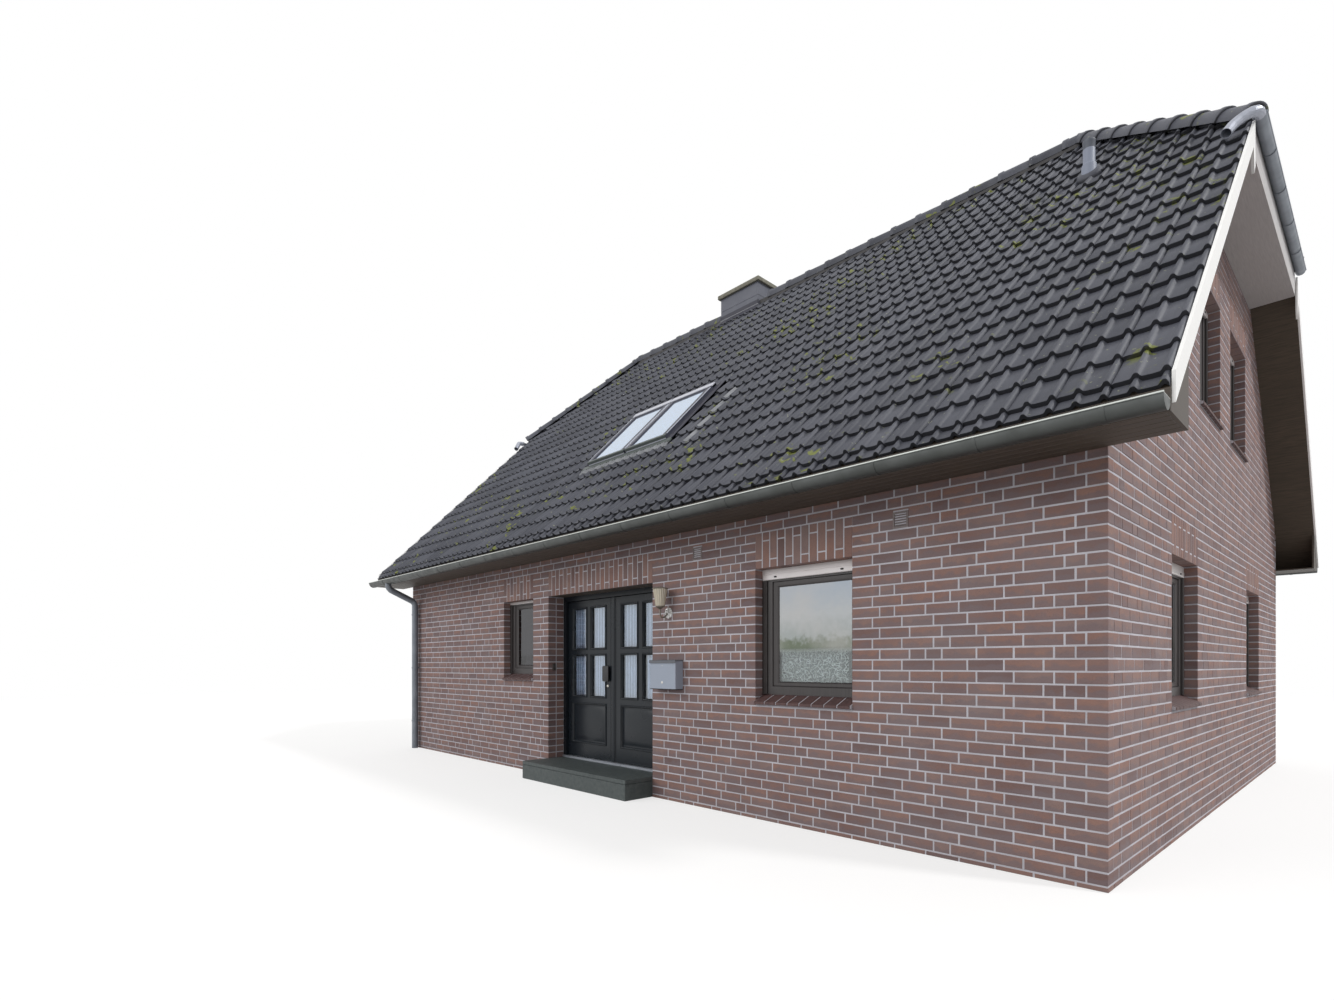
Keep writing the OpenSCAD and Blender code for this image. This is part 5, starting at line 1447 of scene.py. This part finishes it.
def chimney_apron(shape):
    """Lead dressed over the tiles before and behind the chimney, with strips up its four faces."""
    low, high = CHIMNEY_LOW, CHIMNEY_HIGH
    side, up, t, steps = 0.055, 0.085, 0.006, 48
    slopes = ((SLOPE_FRONT, low.y, low.x, high.x), (SLOPE_REAR, -high.y, -high.x, -low.x))
    for place, edge_y, x0, x1 in slopes:
        top = (EAVE_Y + edge_y) / math.cos(PITCH)
        rings = []
        for k in range(steps + 1):
            x = x0 - side + (x1 - x0 + 2 * side) * k / steps
            wave = 0.7 * wave_height(x) + 0.004
            rings.append([(x, top - 0.145, wave), (x, top - 0.06, 0.004 + wave * 0.7), (x, top, 0.010),
                          (x, top, -0.004), (x, top - 0.145, -0.014 + wave)])
        shape.add(*loft(rings), 0.5, place)
    for y0, y1 in ((low.y - t, low.y), (high.y, high.y + t)):
        foot = RIDGE_Z - min(abs(y0), abs(y1))
        add_box(shape, (low.x - t, y0, foot - 0.01), (high.x + t, y1, foot + up), 0.0015)
    for x in (low.x - t, high.x):
        for y0, y1 in ((low.y - t, -0.115), (0.115, high.y + t)):
            z0, z1 = RIDGE_Z - abs(y0), RIDGE_Z - abs(y1)
            shape.prism([(y0, z0), (y1, z1), (y1, z1 + up), (y0, z0 + up)], x, x + t)


def build_chimney():
    """Boards round the stack, a slab that falls to all sides and the mouth of the flue."""
    low, high = CHIMNEY_LOW, CHIMNEY_HIGH
    half_flue = 0.11
    middle = (low + high) / 2
    flue = (middle.x - half_flue, middle.y - half_flue, middle.x + half_flue, middle.y + half_flue)
    upright = Matrix(((1, 0, 0, 0), (0, 0, 1, 0), (0, 1, 0, 0), (0, 0, 0, 1)))
    plan = (low.x, low.y, high.x, high.y)
    flue_foot = 6.995
    clad = Shape()
    for z0, z1 in ((7.0, 7.28), (7.284, 7.58), (7.584, high.z)):
        board = [(0, z0 + 0.002), (0, z1 - 0.002), (0.1, z1), (1, z1), (1, z0), (0.1, z0)]
        clad.add(*ring_frame(plan, grown(plan, -0.02), board), rng.random(), upright)
    core = [(0, flue_foot), (0, high.z - 0.001), (1, high.z - 0.001), (1, flue_foot)]
    clad.add(*ring_frame(grown(plan, -0.004), flue, core), 0.3, upright)
    add_box(clad, (low.x + 0.001, low.y + 0.001, low.z), (high.x - 0.001, high.y - 0.001, 7.001))
    piece("chimney_cladding", clad, CLADDING, replaces=["chimney_stack"])
    cap_low, cap_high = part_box("chimney_cap")
    edge_z = cap_high.z - 0.025
    slab = [(0.012, cap_low.z), (0, cap_low.z + 0.005), (0, edge_z - 0.005), (0.012, edge_z),
            (0.85, cap_high.z), (1, cap_high.z), (1, cap_low.z)]
    cap_plan = (cap_low.x, cap_low.y, cap_high.x, cap_high.y)
    cap = Shape().add(*ring_frame(cap_plan, flue, slab), 0.5, upright)
    piece("chimney_slab", cap, CONCRETE, replaces=["chimney_cap"])


def build_vent():
    low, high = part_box("vent_pipe")
    x, y = (low.x + high.x) / 2, (low.y + high.y) / 2
    roof = RIDGE_Z - abs(y) * math.tan(PITCH)
    top = high.z
    profile = [(0.001, roof - 0.41), (0.068, roof - 0.41), (0.068, roof + 0.058), (0.066, roof + 0.064),
               (0.057, roof + 0.074), (0.055, roof + 0.078), (0.055, top - 0.022), (0.001, top - 0.022)]
    place = Matrix.Translation((x, y, 0))
    pipe = Shape().add(*revolved(profile, 40), 0.5, place)
    piece("vent_stack", pipe, VENT_PLASTIC, replaces=["vent_pipe"])
    rim = [(0.058, top - 0.023), (0.059, top - 0.021), (0.059, top - 0.002), (0.057, top), (0.051, top),
           (0.051, roof + 0.136)]
    piece("vent_rim", Shape().add(*revolved(rim, 40, hollow=True), 0.5, place), VENT_RIM)
    hood = [(0.001, -0.05), (0.125, -0.05), (0.122, -0.020), (0.104, 0.004), (0.080, 0.014), (0.001, 0.014)]
    up_slope = (EAVE_Y - abs(y)) / math.cos(PITCH)
    base = Shape().add(*revolved(hood, 40), 0.4, SLOPE_FRONT @ Matrix.Translation((x, up_slope - 0.01, 0.0)))
    piece("vent_tile", base, TILE)


# Wall fittings
def build_lamp():
    """A lantern with a flaring ribbed glass under a flat lid, on a curved arm with a leaf under it."""
    low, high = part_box("wall_lamp")
    x, wall, z = (low.x + high.x) / 2, -HALF_D, 1.953
    metal = Shape()
    rose = [(0.002, 0.0), (0.060, 0.0), (0.060, 0.004), (0.054, 0.008), (0.046, 0.007), (0.038, 0.013),
            (0.024, 0.017), (0.016, 0.023), (0.002, 0.024)]
    rosette = Shape().add(*petalled(rose, 64), 0.5, out_of_wall(x, wall, z))
    piece("lamp_rosette", rosette, ROSETTE)
    bends = [(-0.020, 0.0), (-0.034, -0.026), (-0.052, -0.042), (-0.084, -0.052), (-0.108, -0.046),
             (-0.120, -0.028), (-0.120, 0.042)]
    leaf = [(-0.046, -0.040), (-0.052, -0.052), (-0.050, -0.072)]
    for path, radius, sides in ((bends, 0.008, 12), (leaf, 0.006, 10)):
        metal.add(*tube([(x, wall + y, z + h) for y, h in path], radius, sides))
    head = Matrix.Translation((x, wall - 0.12, z))
    cup = [(0.004, 0.030), (0.012, 0.033), (0.020, 0.040), (0.034, 0.046), (0.046, 0.054), (0.050, 0.060),
           (0.050, 0.064), (0.044, 0.066), (0.004, 0.066)]
    stem = [(0.001, 0.14), (0.003, 0.14), (0.003, 0.244), (0.001, 0.244)]
    lid = [(0.001, 0.241), (0.076, 0.240), (0.083, 0.242), (0.084, 0.246), (0.080, 0.250), (0.050, 0.256),
           (0.018, 0.260), (0.010, 0.264), (0.001, 0.264)]
    for profile, sides in ((cup, 36), (stem, 10), (lid, 48)):
        metal.add(*revolved(profile, sides), 0.5, head)
    sleeve = [(0.001, 0.064), (0.012, 0.064), (0.012, 0.144), (0.009, 0.147), (0.001, 0.147)]
    piece("lamp_sleeve", Shape().add(*revolved(sleeve, 20), 0.5, head), CANDLE)
    piece("lamp_metal", metal, BRASS, replaces=["wall_lamp"])
    bell = [(0.048, 0.062), (0.052, 0.090), (0.058, 0.130), (0.066, 0.180), (0.074, 0.228), (0.076, 0.241),
            (0.073, 0.241), (0.071, 0.228), (0.063, 0.180), (0.055, 0.130), (0.049, 0.090), (0.045, 0.062)]
    glass = Shape().add(*revolved(bell, 40, 0.07, hollow=True), 0.5, head)
    piece("lamp_shade", glass, LAMP_PANE, replaces=["lamp_glass"])


def petalled(profile, sides):
    """A rosette: a turned profile that waves in eight petals."""
    rings = []
    for r, h in profile:
        ring = []
        for k in range(sides):
            a = 2 * math.pi * k / sides
            petal = 0.5 - 0.5 * math.cos(8 * a)
            q = r * (1 - 0.12 * petal * (r > 0.03))
            ring.append((q * math.cos(a), q * math.sin(a), h * (1 - 0.55 * petal * (0.02 < r < 0.058))))
        rings.append(ring)
    return loft(rings)


def build_mailbox():
    low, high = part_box("mailbox")
    wall = 0.003
    lock_x, lock_z = 1.283, 1.23
    rings = []
    for inset, z in ((0.004, low.z), (0.0, low.z + 0.004), (0.0, high.z)):
        rings.append([(low.x + inset, low.y + inset, z), (high.x - inset, low.y + inset, z),
                      (high.x - inset, high.y, z), (low.x + inset, high.y, z)])
    for z in (high.z, low.z + wall):
        rings.append([(low.x + wall, low.y + wall, z), (high.x - wall, low.y + wall, z),
                      (high.x - wall, high.y - wall, z), (low.x + wall, high.y - wall, z)])
    piece("mailbox_body", Shape().add(*loft(rings)), MAILBOX_METAL, replaces=["mailbox"])
    lock = Shape()
    knob = ((0.001, 0.0), (0.012, 0.0), (0.012, 0.003), (0.008, 0.005), (0.001, 0.005))
    for z, size in ((lock_z, 1.0), (high.z - 0.045, 0.4)):
        turned = [(r * size, h * size) for r, h in knob]
        lock.add(*revolved(turned, 28), 0.5, out_of_wall(lock_x, low.y + 0.001, z))
    piece("mailbox_lock", lock, LOCK_METAL)
    # Painted shade: a near-black band round the foot of the box stands for the shadow line under it.
    rim = Shape()
    lip = 0.0005
    add_box(rim, (low.x + 0.001, low.y - lip, low.z + lip), (high.x + lip, high.y, low.z + 0.008), lip)
    piece("mailbox_shadow_band", rim, BLACK_AND_SHADE)
    build_flap(low.x, high.x, high.z + 0.006)


def build_flap(pin_x0, pin_x1, z):
    """The lid with its turned-down front edge, and the pin along its rear edge."""
    low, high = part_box("mailbox_lid")
    y0, y1 = low.y, high.y - 0.004
    side = [(y0, z - 0.024), (y0, z + 0.002), (y0 + 0.004, z + 0.006), (y1, z + 0.006), (y1, z),
            (y0 + 0.006, z), (y0 + 0.004, z - 0.002), (y0 + 0.004, z - 0.024)]
    lid = Shape().prism(side, low.x, high.x)
    pin_y, pin_z = -HALF_D - 0.011, z + 0.005
    lid.add(*tube([(pin_x0, pin_y, pin_z), (pin_x1, pin_y, pin_z)], 0.005, 16))
    piece("mailbox_flap", lid, LID_METAL, "mailbox_flap", ["mailbox_lid"])


def build_air_bricks():
    grilles, slots = Shape(), Shape()
    y, rows = -HALF_D - 0.006, 5
    rim = [(0, y + 0.002), (0.15, y), (0.9, y), (1, y + 0.003), (1, y + 0.02), (0, y + 0.02)]
    for x0, x1, z0, z1 in AIR_BRICKS:
        outer, inner = (x0, z0, x1, z1), (x0 + 0.014, z0 + 0.014, x1 - 0.014, z1 - 0.014)
        grilles.add(*ring_frame(outer, inner, rim))
        pitch = (inner[3] - inner[1]) / rows
        for k in range(rows):
            low = inner[1] + k * pitch
            blade = [(y + 0.001, low + 0.002), (y + 0.004, low + 0.0015), (y + 0.014, low + pitch * 0.75),
                     (y + 0.011, low + pitch * 0.8)]
            grilles.prism(blade, inner[0], inner[2])
        # Painted shade: a near-black block behind the blades stands for the dark inside the air brick.
        add_box(slots, (x0 + 0.004, y + 0.015, z0 + 0.004), (x1 - 0.004, y + 0.10, z1 - 0.004), 0.001)
    piece("air_brick_grilles", grilles, GRILLE, replaces=["wall_vents"])
    piece("air_brick_shade", slots, BLACK_AND_SHADE)


def build_bell_and_step():
    low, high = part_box("doorbell")
    rings = []
    for inset, x in ((0.0, low.x), (0.0, high.x - 0.005), (0.004, high.x - 0.001), (0.010, high.x - 0.001)):
        y0, z0, y1, z1 = low.y + inset, low.z + inset, high.y - inset, high.z - inset
        rings.append([(x, y0, z0), (x, y1, z0), (x, y1, z1), (x, y0, z1)])
    press = Matrix.Translation((high.x - 0.004, (low.y + high.y) / 2, high.z - 0.035))
    press = press @ Matrix.Rotation(math.pi / 2, 4, "Y")
    knob = [(0.001, 0.0), (0.009, 0.0), (0.009, 0.003), (0.007, 0.004), (0.001, 0.004)]
    bell = Shape().add(*loft(rings)).add(*revolved(knob, 20), 0.5, press)
    piece("door_bell", bell, BELL, replaces=["doorbell"])
    low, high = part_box("door_step")
    step = Shape()
    add_box(step, low, (high.x, high.y, high.z - 0.045), 0.004)
    add_box(step, (low.x, low.y, high.z - 0.043), high, 0.005)
    piece("entrance_step", step, STEP_STONE, replaces=["door_step"])


def build_window_curtain():
    low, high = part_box("window_curtain")
    y = (low.y + high.y) / 2
    arch_w, arch_h, fold_d = 0.083, 0.026, 0.0035
    arches = round((high.x - low.x) / arch_w)
    steps = arches * 12
    rows = []
    for k in range(steps + 1):
        t = k / steps
        x = low.x + 0.002 + t * (high.x - low.x - 0.004)
        fold = fold_d * math.sin(2 * math.pi * (arches + 3) * t)
        arch = arch_h * math.sqrt(max(0.0, 1 - (2 * (t * arches % 1.0) - 1) ** 2))
        levels = ((low.z + 0.001, 1.0), (low.z + 0.10, 1.0), (low.z + 0.20, 0.9),
                  (high.z - 0.027 + arch, 0.8))
        rows.append([(x, y + fold * s, z) for z, s in levels])
    cloth = Shape().add(*loft(rows, close_ends=False, closed_ring=False))
    lace = piece("window_lace", cloth, LACE, replaces=["window_curtain"], tidy=False)
    thin_sheet(lace)


CARRIED = {
    "ground_floor": FLOOR_FINISH, "attic_floor": PLASTER, "front_roof_deck": ROUGH_TIMBER,
    "rear_roof_deck": ROUGH_TIMBER, "hip_roof_decks": ROUGH_TIMBER, "hip_soffits": HIP_BOARDS,
    "front_gutter": GUTTER, "rear_gutter": GUTTER, "hip_gutters": PIPE_ZINC,
    "hip_spouts": BRIGHT_ZINC, "downpipes": PIPE_ZINC, "roof_window_glass": ROOF_PANE,
    "door_frame": DOOR_PAINT, "door_threshold": THRESHOLD, "door_glass_left": DOOR_PANE,
    "door_glass_right": DOOR_PANE,
}


def finish_carried_nodes():
    for name, material in CARRIED.items():
        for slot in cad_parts[name].material_slots:
            slot.material = material


def build_walls():
    front, rear, gable = [[opening(w) for w in ws] for ws in (FRONT_WINDOWS, REAR_WINDOWS, GABLE_WINDOWS)]
    nodes = ["front_wall_left", "front_wall_right", "front_wall_over_door"]
    build_wall("front", ON_FRONT, HALF_W, WALL_TOP_Z, [DOORWAY] + front, AIR_BRICKS, False, nodes)
    build_wall("rear", ON_REAR, HALF_W, WALL_TOP_Z, rear, [], False, ["rear_wall"])
    for side, place in (("left", ON_LEFT), ("right", ON_RIGHT)):
        build_wall(side + "_gable", place, HALF_D, GABLE_TOP_Z, gable, [], True, [side + "_gable_wall"])


def build_roof():
    chimney_back = (EAVE_Y - CHIMNEY_HIGH.y) / math.cos(PITCH)
    chimney_foot = (EAVE_Y + CHIMNEY_LOW.y) / math.cos(PITCH)
    front_chimney = (CHIMNEY_LOW.x, chimney_foot, CHIMNEY_HIGH.x, SLOPE_L + 1)
    rear_chimney = (-CHIMNEY_HIGH.x, chimney_back, -CHIMNEY_LOW.x, SLOPE_L + 1)
    main_slope("front_tiles", SLOPE_FRONT, [ROOF_WINDOW, front_chimney], "front_roof_tiles")
    main_slope("rear_tiles", SLOPE_REAR, [rear_chimney], "rear_roof_tiles")
    hip_slope("hip_tiles", "hip_roof_tiles")
    build_caps()


# Stage, light and camera
WHITE = (1.0, 1.0, 1.0, 1.0)
FLOOR_Z = -0.002


def build_stage():
    """A pale floor that catches the shadow, shows white and fades into the white round it."""
    radius, sides = 90.0, 96
    mesh = bpy.data.meshes.new("floor")
    angles = [2 * math.pi * k / sides for k in range(sides)]
    points = [(radius * math.cos(a), radius * math.sin(a), FLOOR_Z) for a in angles]
    mesh.from_pydata(points, [], [list(range(sides))])
    mesh.materials.append(floor_material())
    floor = linked("floor", mesh)


def floor_material():
    g = surface("floor", Roughness=0.9)
    g.set("Base Color", g.mix(g.noise(0.3, 2.0), (0.30, 0.295, 0.29), (0.33, 0.325, 0.32)))
    seen = g.seen()
    away = g.node("ShaderNodeVectorMath", {0: g.place}, operation="LENGTH").outputs["Value"]
    far = g.span(away, 9.0, 34.0)
    lit, white = [g.node("ShaderNodeEmission", {"Color": WHITE, "Strength": strength}).outputs[0]
                  for strength in (0.66, 1.0)]
    near = g.node("ShaderNodeAddShader", {0: g.shader.outputs[0], 1: lit}).outputs[0]
    shown = g.node("ShaderNodeMixShader", {0: far, 1: near, 2: white}).outputs[0]
    both = g.node("ShaderNodeMixShader", {0: seen, 1: g.shader.outputs[0], 2: shown}).outputs[0]
    g.feed(g.tree.nodes["Material Output"].inputs["Surface"], both)
    return g.owner


def build_world():
    """White where it is seen, also in glass and mirror images, and dimmer as a light."""
    world = bpy.data.worlds.new("studio")
    bpy.context.scene.world = world
    g = Graph(world, "Background", Color=WHITE)
    inputs = {"Factor": g.seen(), "A": 0.72, "B": 1.0}
    g.set("Strength", g.node("ShaderNodeMix", inputs, data_type="FLOAT").outputs["Result"])


def sun(name, towards, strength, size):
    """A soft lamp far away that shines along a direction."""
    data = bpy.data.lights.new(name, "SUN")
    data.energy = strength
    data.angle = math.radians(size)
    linked(name, data).rotation_euler = Vector(towards).to_track_quat("-Z", "Y").to_euler()


def build_camera():
    data = bpy.data.cameras.new("camera")
    data.lens = 18.46
    data.sensor_width = 36.0
    data.shift_y = 0.1237
    data.clip_end = 500.0
    camera = linked("camera", data)
    camera.location = (6.480, -8.994, 1.41)
    camera.rotation_euler = (math.radians(90), 0, math.radians(47.05))
    bpy.context.scene.camera = camera


build_camera()
build_stage()
build_world()
sun("key", (-0.68, -0.28, -0.66), 1.65, 8)
sun("fill", (0.35, 0.85, -0.45), 0.9, 40)
build_walls()
build_roof()
build_windows()
build_door()
build_rainwater()
build_eaves()
build_barge_boards()
build_roof_window()
build_flashings()
build_bright_strips()
build_chimney()
build_vent()
build_lamp()
build_mailbox()
build_air_bricks()
build_bell_and_step()
build_window_curtain()
finish_carried_nodes()
bpy.context.scene.view_settings.view_transform = "Standard"
